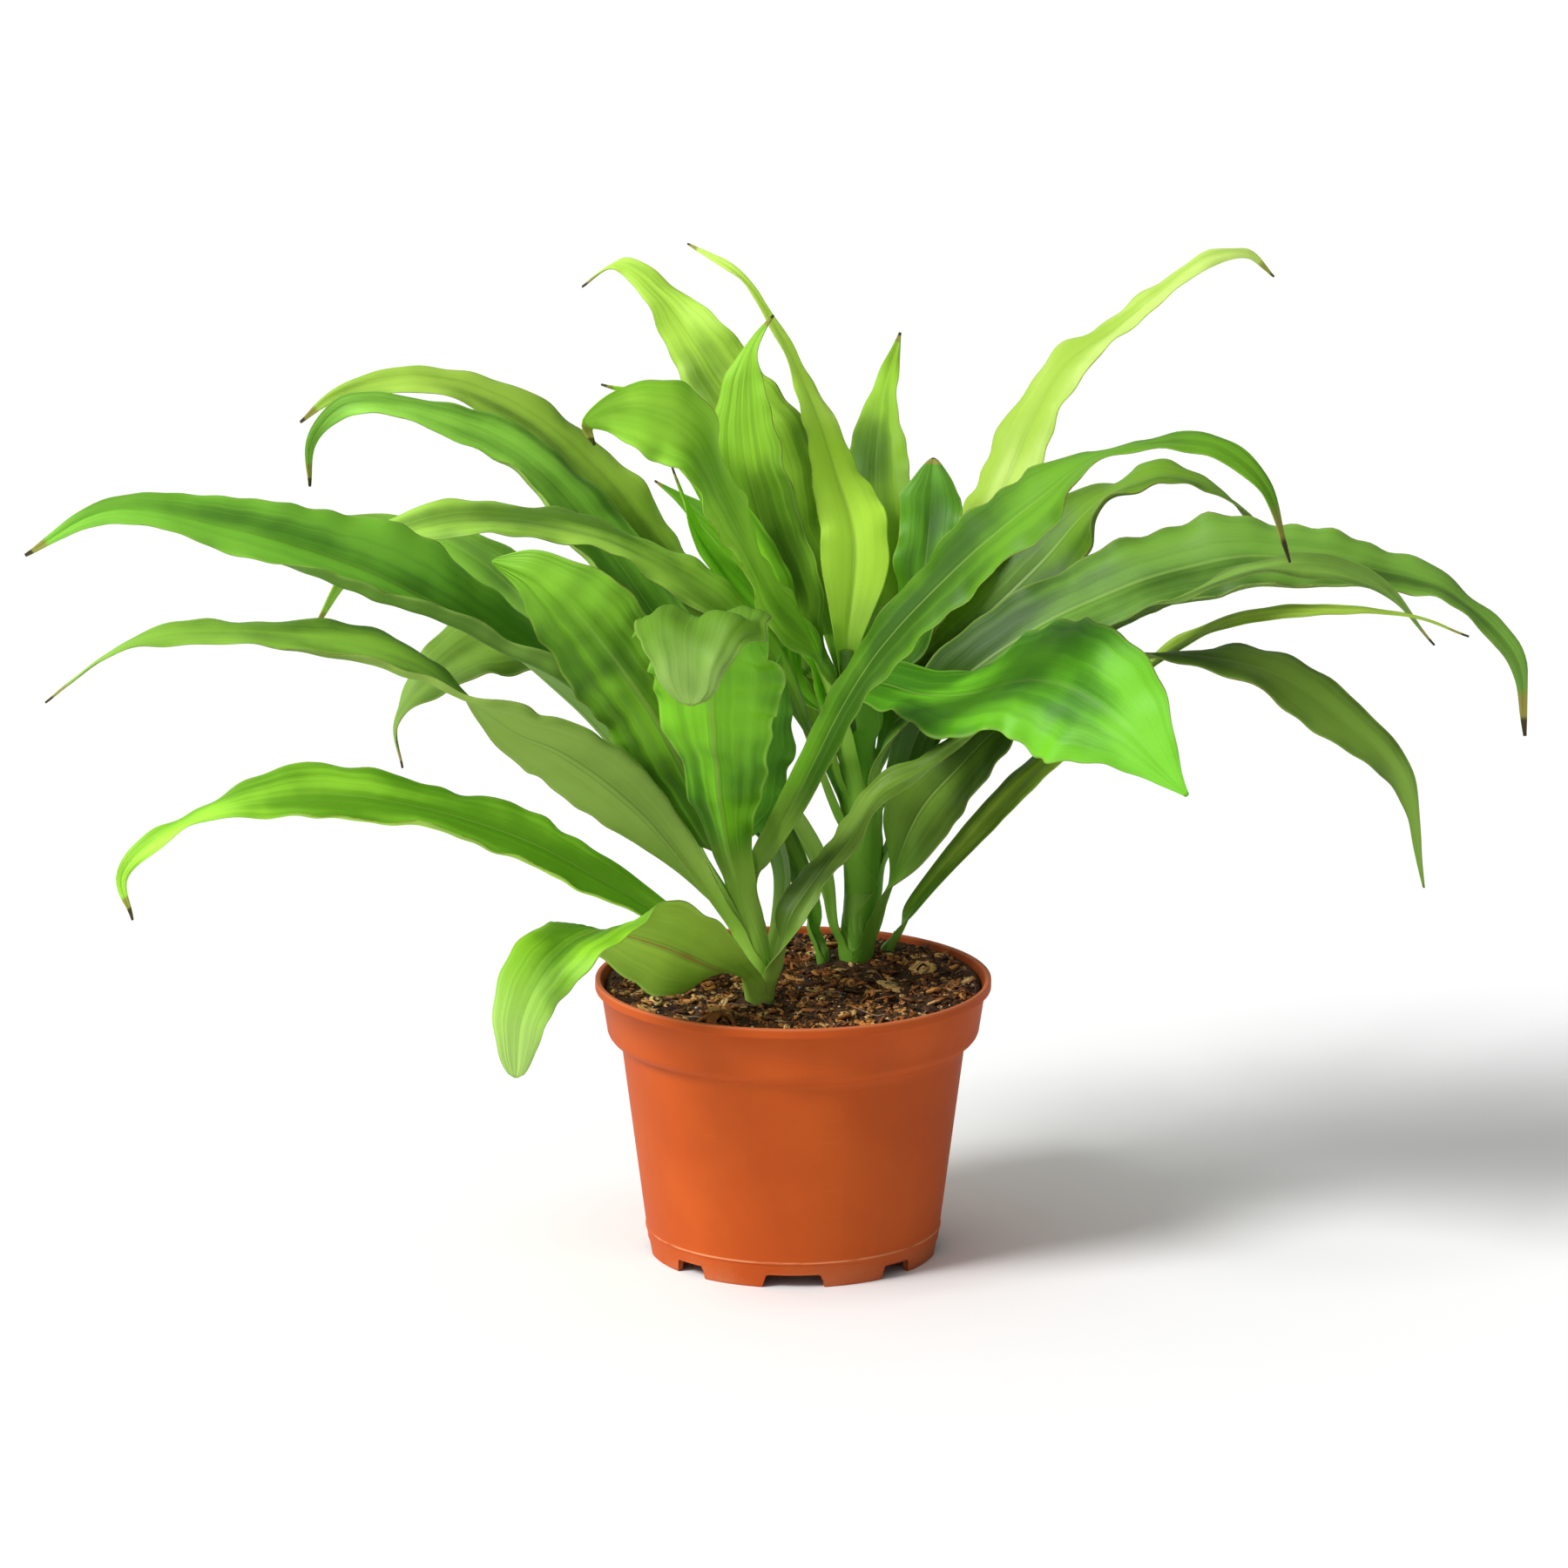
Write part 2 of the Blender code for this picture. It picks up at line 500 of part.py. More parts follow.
def smooth_path(rows, shares):
    """A centripetal Catmull-Rom curve through the rows (x, y, z, roll), read at shares of its length."""
    rows = np.vstack([2 * rows[0] - rows[1], rows, 2 * rows[-1] - rows[-2]])
    chords = np.linalg.norm(np.diff(rows[:, :3], axis=0), axis=1)
    knots = np.concatenate([[0.0], np.cumsum(np.sqrt(chords))])
    pieces = []
    for i in range(1, len(rows) - 2):
        t = np.linspace(knots[i], knots[i + 1], PATH_STEPS + 1)[:-1, None]
        a = [between(t, knots[j], knots[j + 1], rows[j], rows[j + 1]) for j in (i - 1, i, i + 1)]
        b = [between(t, knots[i - 1 + j], knots[i + 1 + j], a[j], a[j + 1]) for j in (0, 1)]
        pieces.append(between(t, knots[i], knots[i + 1], b[0], b[1]))
    fine = np.vstack([*pieces, rows[-2]])
    run = np.concatenate([[0.0], np.cumsum(np.linalg.norm(np.diff(fine[:, :3], axis=0), axis=1))])
    at = np.asarray(shares) * run[-1]
    return np.stack([np.interp(at, run, fine[:, k]) for k in range(4)], axis=1), run[-1]


def stem_at(name, z):
    """Centre and radius of the stem at a height."""
    line = np.array(SHOOTS[name])
    x, y, radius = [np.interp(z, line[:, 2], line[:, k]) for k in (0, 1, 3)]
    return np.array([x, y, z]), radius


def leaf_route(leaf):
    """The leaf's own points after the two that seat it on its stem, and the radius that its base clasps."""
    centre, radius = stem_at(leaf.shoot, leaf.height)
    turn = math.radians(leaf.azimuth)
    out = np.array([math.cos(turn), math.sin(turn), 0.0])
    clasped = radius + SEAT + BLADE / 2
    root = centre + out * clasped
    neck = root + out * NECK_OUT + np.array([0.0, 0.0, NECK_UP])
    return np.array([(*root, 0.0), (*neck, 0.0), *leaf.route]), clasped


def width_share(u, leaf):
    """Share of the full width along the leaf: a narrow neck, a long blade and a drawn-out tip."""
    neck = leaf.neck / leaf.width
    opened = neck + (1 - neck) * ease((u - 0.04) / (leaf.opens - 0.04))
    fall = np.clip((u - leaf.narrows) / (1 - leaf.narrows), 0.0, 1.0)
    return opened * (TIP_SHARE + (1 - TIP_SHARE) * (1 - fall ** 1.3) ** 1.2)


def leaf_surface(leaf, stations, across):
    """The leaf's middle surface as a grid of points.

    The midrib is a smooth curve, and the two halves rise from it by the fold angle, turned about it by the
    roll. Near the root they wrap round the stem, and towards the edge they carry the ripples.
    """
    u = np.linspace(0.0, 1.0, stations)
    route, clasped = leaf_route(leaf)
    path, length = smooth_path(route, u)
    dense, _ = smooth_path(route, np.linspace(0.0, 1.0, 401))
    slopes = np.gradient(dense[:, :3], axis=0)
    along = unit(np.stack([np.interp(u, np.linspace(0.0, 1.0, 401), slopes[:, k]) for k in range(3)], axis=1))
    turn = math.radians(leaf.azimuth)
    level = np.array([-math.sin(turn), math.cos(turn), 0.0])
    side = unit(level - (along @ level)[:, None] * along)
    face = np.cross(along, side)
    roll = np.radians(path[:, 3])[:, None]
    side, face = np.cos(roll) * side + np.sin(roll) * face, np.cos(roll) * face - np.sin(roll) * side

    v = np.linspace(-1.0, 1.0, across)
    spread = width_share(u, leaf)[:, None]
    arc = np.abs(v) * spread * leaf.width / 2
    wrap = 1 - ease(u * length / CLASP)[:, None]
    fold = math.radians(leaf.fold)
    out = wrap * np.sin(arc / clasped) * clasped + (1 - wrap) * arc * math.cos(fold)
    up = wrap * (1 - np.cos(arc / clasped)) * clasped + (1 - wrap) * arc * math.sin(fold)
    phase = 0.7 * (1000 * leaf.height + leaf.azimuth) + np.where(v > 0, 1.9, 0.0)
    edge = v ** 2 * spread * ease((u - 0.12) / 0.2)[:, None]
    up = up + leaf.ripple * edge * np.sin(math.tau * leaf.ripples * u[:, None] + phase)
    return path[:, None, :3] + (np.sign(v) * out)[..., None] * side[:, None] + up[..., None] * face[:, None]


def make_leaf(name, leaf, group, parent):
    """A thin blade with the same triangles on both faces."""
    grid = leaf_surface(leaf, STATIONS, ACROSS)
    root = grid[0, ACROSS // 2].copy()
    index = np.arange(STATIONS * ACROSS).reshape(STATIONS, ACROSS)
    a, b, c, d = index[:-1, :-1], index[1:, :-1], index[1:, 1:], index[:-1, 1:]
    faces = np.concatenate([np.stack([a, b, c], axis=-1).reshape(-1, 3), np.stack([a, c, d], axis=-1).reshape(-1, 3)])
    data = mesh_of(name, (grid - root).reshape(-1, 3), faces.tolist())
    slot = "leaf_dark" if name in DARK_LEAVES else "leaf_lime" if name in LIME_LEAVES else "leaf_green"
    obj = place(name, data, group, parent, slot, location=root)
    solid = obj.modifiers.new("blade", "SOLIDIFY")
    solid.thickness = BLADE
    solid.offset = 0.0
    return obj


def main():
    clear_scene()
    plant = collection("potted_dracaena")
    cutters = collection("cutters")
    base = bpy.data.objects.new("plant_base", None)
    plant.objects.link(base)
    make_pot(plant, cutters, base)
    make_soil(plant, cutters, base)
    for name, line in SHOOTS.items():
        make_stem(name, line, plant, base)
    for name, leaf in LEAVES.items():
        make_leaf(name, leaf, plant, base)


main()
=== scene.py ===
"""The looks of the potted dracaena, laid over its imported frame: pot, soil, shoots, leaves and stage.

Metres, +Z up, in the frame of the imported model.
"""

import math
from collections import namedtuple

import bpy
import numpy as np
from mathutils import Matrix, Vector


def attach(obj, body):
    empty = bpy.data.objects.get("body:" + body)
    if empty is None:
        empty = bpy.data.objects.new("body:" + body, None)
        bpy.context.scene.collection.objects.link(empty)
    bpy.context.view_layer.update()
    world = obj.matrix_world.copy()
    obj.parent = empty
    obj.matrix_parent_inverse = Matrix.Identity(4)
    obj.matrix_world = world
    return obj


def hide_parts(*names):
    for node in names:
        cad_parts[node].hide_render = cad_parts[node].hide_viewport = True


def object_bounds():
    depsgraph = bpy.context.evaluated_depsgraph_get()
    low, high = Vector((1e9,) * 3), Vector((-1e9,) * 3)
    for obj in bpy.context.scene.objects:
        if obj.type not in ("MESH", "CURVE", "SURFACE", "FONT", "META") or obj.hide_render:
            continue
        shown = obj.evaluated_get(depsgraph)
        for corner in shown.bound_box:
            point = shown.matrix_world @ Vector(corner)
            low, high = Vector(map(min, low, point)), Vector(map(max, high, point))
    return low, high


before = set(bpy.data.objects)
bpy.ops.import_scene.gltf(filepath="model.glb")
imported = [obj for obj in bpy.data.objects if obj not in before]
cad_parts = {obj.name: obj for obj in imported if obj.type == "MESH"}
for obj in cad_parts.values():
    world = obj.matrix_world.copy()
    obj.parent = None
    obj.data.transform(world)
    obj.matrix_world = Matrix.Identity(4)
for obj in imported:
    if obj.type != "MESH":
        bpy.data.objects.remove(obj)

CAD_BOX = [list(corner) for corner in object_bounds()]
LOWEST = np.array(CAD_BOX[0]) + 1e-5
HIGHEST = np.array(CAD_BOX[1]) - 1e-5

# Camera: what it looks at, how far away and how high, and its lens
AIM = np.array([-0.0036, 0.0, 0.1876])
CAMERA_DISTANCE = 3.5
CAMERA_ELEVATION = math.radians(14)
LENS = 206.5

# Light: the sky's strength from the left to the right, and the key's strength, width and direction
SKY_STOPS = ((0.0, (1.00, 1.00, 1.00)), (0.5, (0.45, 0.45, 0.45)), (1.0, (0.10, 0.10, 0.11)))
KEY_STRENGTH = 3.1
KEY_WIDTH = math.radians(22)
KEY_FROM = np.array([-0.94, -0.56, 0.96])
FLOOR_REACH = 14.0

# Pot: the notches are given by their width at the foot and at the top, wide ones and narrow ones in turn
RIM_RADIUS = 0.0775
POT_HEIGHT = 0.110
BEAD_HEIGHT = 0.004
BEAD_LOW = POT_HEIGHT - BEAD_HEIGHT
MOUTH_RADIUS = 0.0755
LIP_TOP_RADIUS = 0.0753
LIP_LOW_RADIUS = 0.0730
LIP_HEIGHT = 0.0190
LIP_LOW = POT_HEIGHT - LIP_HEIGHT
LIP_ROUND = 0.0055
WALL_TOP = LIP_LOW - LIP_ROUND
WALL_TOP_RADIUS = 0.0675
BASE_RADIUS = 0.0565
WALL = 0.0012
CORNER_ROUND = 0.0007
HUB = 0.0005
FOOT_WIDTH = 0.0022
FOOT_BEVEL = 0.0003
FLOOR_HEIGHT = 0.0060
FLOOR_THICKNESS = 0.0016
RING_HEIGHT = 0.0100
RING_HALF = 0.0009
RING_PROUD = 0.0004
NOTCH_TOP = 0.0053
NOTCH_COUNT = 8
NOTCHES = ((0.0240, 0.0210), (0.0150, 0.0125))
POT_TURNS = 288

# Soil: the height of its top, the gaps that its top and its loose bits leave to the wall, and its depth
SOIL_TOP = 0.1045
SOIL_GAP = 0.0009
LOOSE_GAP = 0.0010
FIBRE_GAP = 0.0025
SOIL_DEPTH = 0.012
SOIL_RINGS, SOIL_SPOKES = 96, 320

# Leaves: how they sit on the stem, the relief of their blades, and the steps of their grids
SEAT = 0.00075
SHEATH = 0.038
SHEATH_SUNK = 0.0008
CLASP = 0.022
NECK_OUT = 0.003
NECK_UP = 0.007
TIP_SHARE = 0.03
HALF_THICKNESS = 0.00034
KEEL, KEEL_WIDTH = 0.0007, 0.0012
GROOVE, GROOVE_WIDTH = 0.0006, 0.0011
RIB_HEIGHT = 0.00022
RIBS_PER_METRE = 1150
NICKS_PER_METRE = 420
MARGIN_CURL = math.radians(105)
SWELL = 0.0011
SWELL_SIZES = (0.060, 0.036)
CRUMPLE_SIZES = (0.026, 0.014)
SHEATH_ROWS = 18
BLADE_ROWS = 141
ACROSS = 29
ROUTE_STEPS = 601
PATH_STEPS = 24

# Stems: the rise of a lap in one turn, the height of its step and of the flutes, and the lean of the top
LAP_RISE = 0.034
LAP_STEP = 0.00032
FLUTE = 0.00007
LEAN = 0.0042
STEM_ROWS, STEM_TURNS = 90, 64

# Loose bits in the soil: their least and greatest sizes (long, wide, thick) and their tones from dark to pale
BARK_SIZES = ((0.0022, 0.0016, 0.0007), (0.0085, 0.0048, 0.0018))
CHIP_SIZES = ((0.0070, 0.0050, 0.0012), (0.0150, 0.0100, 0.0022))
CHIP_TONES = ((0.0, (0.250, 0.080, 0.018)), (0.5, (0.560, 0.205, 0.042)), (1.0, (0.820, 0.520, 0.185)))
BARK_TONES = (
    (0.00, (0.046, 0.022, 0.009)), (0.35, (0.170, 0.064, 0.018)), (0.62, (0.420, 0.152, 0.036)),
    (0.86, (0.680, 0.310, 0.078)), (1.00, (0.850, 0.590, 0.240)),
)
GRANULE_SIZES = ((0.0009, 0.0008, 0.0006), (0.0030, 0.0026, 0.0018))
PERLITE_SIZES = ((0.0006, 0.0006, 0.0005), (0.0015, 0.0014, 0.0011))
PERLITE_TONES = ((0.0, (0.52, 0.48, 0.42)), (1.0, (0.86, 0.84, 0.80)))
FIBRE_TONES = ((0.0, (0.060, 0.030, 0.016)), (0.7, (0.220, 0.120, 0.060)), (1.0, (0.520, 0.380, 0.230)))
BIT_TILT = 0.34
BIT_SQUARENESS = 0.72

# Linear colours laid over the pot's, the soil's, the stems' and the leaves' own
POT_TONES = (0.455, 0.072, 0.009), (0.520, 0.090, 0.012)
DRIP_TONE = (0.400, 0.084, 0.020)
SCUFF_TONE = (0.720, 0.240, 0.090)
RIM_HIGHLIGHT_TONE = (0.740, 0.260, 0.120)
DUST_TONE = (0.420, 0.250, 0.140)
SOILED_TONE = (0.120, 0.060, 0.030)
WORN_TONE = (0.760, 0.330, 0.160)
SOIL_TONES = (0.018, 0.009, 0.005), (0.130, 0.062, 0.024)
CRUMB_TONE = (0.360, 0.200, 0.080)
PORE_TONE = (0.020, 0.011, 0.007)
STEM_TONES = (0.095, 0.250, 0.020), (0.210, 0.430, 0.050)
STEM_FOOT_LIT_TONE = (0.340, 0.720, 0.080)
LAP_TONE = (0.210, 0.085, 0.030)
LAP_SHADE = (0.060, 0.110, 0.020)
MIDRIB_TONE = (0.330, 0.500, 0.100)
RUST_TONE = (0.340, 0.130, 0.030)
MARGIN_TONE = (0.240, 0.100, 0.026)
EDGE_TONE = (0.440, 0.620, 0.130)
SPOT_TONE = (0.170, 0.130, 0.030)
BLEACHED_TONE = (0.520, 0.720, 0.220)
FADED_TONE = (0.400, 0.330, 0.070)
DEAD_TONE = (0.045, 0.022, 0.010)

# The skin's colour where a leaf clasps its stem, and how much of it shows; on a lime leaf it shows little.
# On the front shoot it is lighter and shows more than on the others: painted light on that shoot's foot
LIT_CLASP_TONES = {"front": ((0.480, 0.780, 0.100), 0.90)}
OTHER_CLASP = ((0.220, 0.600, 0.036), 0.72)
LIME_CLASP = 0.25

# Each finish of the leaves: its slot, the share of light that it lets through, and its linear colours of the
# upper face in painted shade and in painted light, and of the underside
FINISHES = {
    "deep": (
        "leaf_dark", 0.20, (0.0450, 0.1230, 0.0054), (0.1860, 0.4216, 0.0248), (0.2464, 0.4256, 0.0616),
    ),
    "mid": (
        "leaf_green", 0.26, (0.0720, 0.1920, 0.0084), (0.2728, 0.6076, 0.0372), (0.3024, 0.5040, 0.0672),
    ),
    "bright": (
        "leaf_green", 0.30, (0.0990, 0.2580, 0.0096), (0.3596, 0.7440, 0.0496), (0.3472, 0.5488, 0.0784),
    ),
    "lime": (
        "leaf_lime", 0.50, (0.4500, 0.7000, 0.0450), (0.7688, 1.0664, 0.1364), (0.5824, 0.7840, 0.1232),
    ),
}

# Each shoot is a stem: the points (x, y, z, radius) in millimetres that its centre line joins
SHOOTS = {
    "front": (
        (-13, -17, 80, 5.4), (-13, -17, 112, 5.4), (-16, -17, 130, 6), (-20, -18, 150, 5.4),
        (-22, -18, 168, 2.2),
    ),
    "back": (
        (25, 39, 80, 6.6), (25, 39, 112, 6.6), (28, 38, 140, 7.4), (27, 36, 170, 7.6), (25, 35, 195, 6.6),
        (21, 34, 232, 2.4),
    ),
    "small": (
        (12, 35, 80, 2.4), (12, 35, 112, 2.4), (12, 35, 115, 1.6), (12, 35, 117, 0.8),
    ),
    "side": (
        (37, 51, 80, 2.4), (37, 51, 110, 2.4), (37, 51, 113, 1.6), (37, 51, 115, 0.8),
    ),
}

# Each leaf, with its lengths in millimetres: its shoot, the height and compass angle of its root, the width
# where it clasps the stem, the full width, the fold of its two halves along the midrib, the height and number
# of the ripples of its edge, the shares of its length where the blade reaches full width and starts to
# narrow, and the points (x, y, z, roll) that its midrib passes through
Leaf = namedtuple("Leaf", "shoot height azimuth neck width fold ripple ripples opens narrows route")
LEAVES = {
    "leaf_front_01": Leaf(
        "front", 109, 235, 13, 38, 8, 1, 4, 0.30, 0.58, (
            (-33, -46, 127, 60), (-50, -62, 139, 60), (-65, -74, 147, 35), (-74, -84, 151, 5),
            (-87, -98, 148, -10), (-97, -108, 139, -35), (-104, -117, 124, -38), (-105, -124, 104, -38),
        )),
    "leaf_front_02": Leaf(
        "front", 112, 60, 8, 30, 12, 1.5, 6, 0.40, 0.70, (
            (-5, -2, 133, -18), (-4, 6, 155, -33), (-17, 16, 179, -32), (-48, 26, 200, -12),
            (-75, 30, 220, -5), (-97, 32, 245, 0), (-125, 32, 272, 30), (-160, 30, 287, 70),
            (-181, 28, 288, 80),
        )),
    "leaf_front_03": Leaf(
        "front", 112, 322, 12, 18, 10, 0.6, 5, 0.35, 0.60, (
            (-1.5, -27, 141, 80), (8, -22, 155, 62), (22, -18, 172, 57), (34, -14, 189, 60),
            (50, -11, 197, 56), (66, -12, 209, 60), (76, -14, 216, 60),
        )),
    "leaf_front_04": Leaf(
        "front", 120, 185, 9, 26, 12, 1.5, 6, 0.35, 0.66, (
            (-32, -20, 128, -37), (-66, -26, 151, -40), (-98, -34, 171, -42), (-138, -44, 188, -30),
            (-190, -58, 198, -48), (-231, -70, 190, -12), (-256, -76, 171, -50), (-252, -80, 154, -60),
        )),
    "leaf_front_05": Leaf(
        "front", 130, 205, 14, 34, 8, 1.5, 6, 0.35, 0.58, (
            (-59, -48, 188, 60), (-90, -62, 216, 45), (-106, -66, 224, 25), (-121, -70, 236, -2),
            (-145, -76, 254, -22), (-201, -92, 269, -22), (-248, -104, 268, -30), (-281, -112, 247, -30),
        )),
    "leaf_front_06": Leaf(
        "front", 138, 184, 14, 42, 28, 1.5, 6, 0.30, 0.60, (
            (-41, -11, 166, 8), (-64, -18, 201, 12), (-103, -30, 243, -12), (-159, -56, 284, -45),
            (-212, -80, 307, -62), (-258, -96, 317, -35), (-288, -105, 302, -20),
        )),
    "leaf_front_07": Leaf(
        "front", 148, 258, 15, 54, 12, 2.4, 6, 0.62, 0.84, (
            (-25, -38, 173, -5), (-28, -58, 198, -8), (-31, -78, 233, -8), (-32, -98, 264, -6),
            (-34, -115, 280, 4), (-37, -129, 279, 6), (-38, -138, 268, 4), (-38, -142, 253, 0),
        )),
    "leaf_front_08": Leaf(
        "front", 152, 35, 11, 34, 8, 1.5, 8, 0.62, 0.62, (
            (3, -36, 195, 14), (18, -45, 228, 1), (36, -52, 257, 2), (64, -60, 289, 5), (90, -68, 313, 5),
            (114, -74, 333, -21), (135, -78, 339, -8), (158, -82, 339, 46), (177, -86, 325, 110),
            (187, -90, 296, 122),
        )),
    "leaf_front_09": Leaf(
        "front", 156, 205, 13, 40, 14, 1.5, 4, 0.35, 0.78, (
            (-29, -31, 169, 45), (-40, -38, 198, 65), (-54, -50, 228, 70), (-73, -57, 257, 70),
            (-96, -55, 281, 60), (-115, -48, 287, 50),
        )),
    "leaf_front_10": Leaf(
        "front", 160, 105, 6, 26, 14, 1.2, 5, 0.35, 0.60, (
            (-17, -8, 182, 0), (-13, -5, 202, -5), (-8, -4, 222, 5), (-5, -5, 240, 10),
        )),
    "leaf_back_01": Leaf(
        "back", 114, 312, 9, 30, 8, 1.5, 7, 0.15, 0.68, (
            (49, 12, 172.5, 100), (64, 4, 193, 80), (84, -10, 216, 52), (108, -22, 235, 30),
            (127, -26, 243, 4), (149, -30, 246, -8), (187, -36, 239, 12), (212, -40, 222, 30),
            (233, -43, 201, 45), (243, -46, 158, 50),
        )),
    "leaf_back_02": Leaf(
        "back", 114, 200, 9, 34, 12, 1.5, 6, 0.35, 0.60, (
            (11, 32, 144, 25), (1, 34, 163, 10), (-28, 40, 202, -40), (-67, 45, 263, -50),
            (-103, 48, 305, -44), (-140, 48, 324, -38), (-174, 48, 328, -25), (-188, 48, 314, -50),
            (-189, 46, 296, -60),
        )),
    "leaf_back_03": Leaf(
        "back", 146, 6, 12, 42, 12, 1.8, 9, 0.42, 0.55, (
            (43.5, 30, 184, 80), (53, 28, 209, 80), (82, 25, 236, 43), (129, 23, 261, 34),
            (176, 22, 273, 39), (220, 20, 270, 38), (254, 20, 260, 26), (282, 20, 233, 30),
            (286, 20, 202, 40),
        )),
    "leaf_back_04": Leaf(
        "back", 160, 205, 9, 25, 10, 1.2, 6, 0.35, 0.70, (
            (-2, 18, 221, -44), (-29, 1, 260, -45), (-73, -8, 287, -25), (-110, -13, 296, -22),
            (-140, -16, 295, -36), (-165, -19, 284, -55), (-186, -22, 253, -60),
        )),
    "leaf_back_05": Leaf(
        "back", 166, 300, 9, 20, 10, 1.2, 6, 0.40, 0.66, (
            (33, 22, 190, 40), (42, 12, 208, 50), (64, 0, 228, 28), (98, -8, 240, 17), (145, -14, 263, 23),
            (191, -12, 278, 38), (225, -10, 270, 35), (248, -8, 245, 50),
        )),
    "leaf_back_06": Leaf(
        "back", 170, 155, 12, 36, 12, 1.5, 6, 0.35, 0.60, (
            (-6, 64, 220, -19), (-42, 74, 245, -17), (-79, 74, 293, -10), (-113, 70, 323, -13),
            (-150, 64, 335, -30), (-179, 58, 330, -50), (-193, 54, 320, -60),
        )),
    "leaf_back_07": Leaf(
        "back", 176, 214, 5, 17, 20, 0.8, 4, 0.40, 0.60, (
            (12, 26.5, 206.5, -40), (5, 33, 234, -60), (-14, 32, 249, -65), (-29, 28, 268, -70),
            (-39, 25, 285, -80), (-47, 22, 309, -90),
        )),
    "leaf_back_08": Leaf(
        "back", 182, 20, 13, 34, 8, 1.5, 6, 0.35, 0.62, (
            (44, 44, 212, 40), (84, 52, 250.5, 39), (101, 54, 267.5, 33), (114, 54, 282.5, 11),
            (125, 52, 292.5, -12), (143, 48, 301, 10), (162, 46, 297, 22), (177, 44, 285, 30),
            (189, 42, 269, 50),
        )),
    "leaf_back_09": Leaf(
        "back", 186, 124, 8, 20, 12, 1, 3, 0.40, 0.70, (
            (-4, 74, 244, 19), (-24, 90, 263, -15), (-41, 98, 277, -40), (-55, 104, 286, -50),
        )),
    "leaf_back_10": Leaf(
        "back", 186, 240, 10, 34, 10, 1.5, 5, 0.35, 0.80, (
            (18, 26, 206, -30), (7, 20, 237, -55), (-7, 12, 256, -65), (-29, 0, 304, -75),
            (-40, -6, 326, -85), (-55, -12, 336, -90), (-70, -16, 338, -85), (-79, -18, 334, -80),
            (-76, -22, 327, -60),
        )),
    "leaf_back_11": Leaf(
        "back", 196, 320, 18, 58, 12, 1.5, 5, 0.45, 0.72, (
            (31, 14, 224, 20), (50, -6, 225, 8), (70, -26, 230, 24), (92, -46, 240, 41),
            (109, -62, 239, 60), (127, -78, 229, 58), (149, -96, 207, 55),
        )),
    "leaf_back_12": Leaf(
        "back", 198, 180, 6, 16, 12, 1, 4, 0.40, 0.75, (
            (1, 42, 217, -60), (-8, 44, 257.5, -65), (-27, 43, 290, -70), (-45, 43, 318, -75),
            (-60, 43, 333, -80), (-75, 44, 337, -80),
        )),
    "leaf_back_13": Leaf(
        "back", 205, 15, 11, 26, 10, 1.2, 7, 0.35, 0.62, (
            (50, 44, 234, 4), (60, 52, 251, 18), (72, 64, 270, 28), (83, 78, 288, 33), (96, 94, 315, 25),
            (109, 105, 333, 12), (129, 116, 346, 9), (148, 124, 360, 15), (166, 130, 371, 22),
            (181, 134, 372, 30), (192, 138, 362, 50),
        )),
    "leaf_back_14": Leaf(
        "back", 208, 142, 10, 32, 8, 1, 4, 0.45, 0.66, (
            (6, 52, 227.5, -60), (-1, 55, 252, -70), (-11, 57, 276, -70), (-18, 58, 303, -75),
            (-20, 60, 326, -75), (-17, 62, 346, -75), (-8, 64, 361, -75),
        )),
    "leaf_back_15": Leaf(
        "back", 210, 24, 10, 25, 12, 1, 3, 0.40, 0.85, (
            (46.5, 42.5, 233.6, 9), (52, 50, 264, 40), (54, 57, 286, 55), (55, 63, 304, 55),
        )),
    "leaf_back_16": Leaf(
        "back", 215, 98, 13, 40, 12, 1.5, 6, 0.42, 0.50, (
            (13, 71, 248, 23), (-1, 84, 270, 26), (-10, 96, 304, 24), (-26, 109, 322, -2),
            (-40, 119, 342, -22), (-53, 128, 357, 10), (-69, 136, 367, -30), (-84, 141, 357, -60),
        )),
    "leaf_back_17": Leaf(
        "back", 222, 66, 12, 37, 12, 1, 4, 0.40, 0.45, (
            (30, 72, 248, 29), (33, 85, 264, 10), (33, 103, 292, -5), (36, 124, 316, -12),
            (43, 144, 338, -20),
        )),
    "leaf_back_18": Leaf(
        "back", 226, 95, 13, 28, 12, 1.2, 5, 0.22, 0.32, (
            (24, 58, 272, 6), (16, 74, 297, 30), (6, 92, 323, 44), (-6, 110, 345, 50), (-21, 128, 364, 40),
            (-42, 145, 374, 10),
        )),
    "leaf_small_01": Leaf(
        "small", 112, 150, 9, 34, 12, 1.5, 6, 0.35, 0.75, (
            (7, 42, 125, -20), (-1, 48, 145, -12), (-24, 54, 177, -5), (-58, 58, 213, -10),
            (-92, 56, 233, -32), (-122, 46, 232, -60), (-142, 36, 221, -80), (-155, 28, 205, -88),
            (-153, 24, 188, -90),
        )),
    "leaf_side_01": Leaf(
        "side", 109, 340, 6, 12, 8, 0.6, 5, 0.30, 0.60, (
            (47, 46, 126, 70), (82, 36, 171, 70), (104, 26, 195, 47), (132, 10, 228, 18),
            (172, -6, 255, 30), (235, -20, 260, 50), (260, -24, 252, 60),
        )),
}

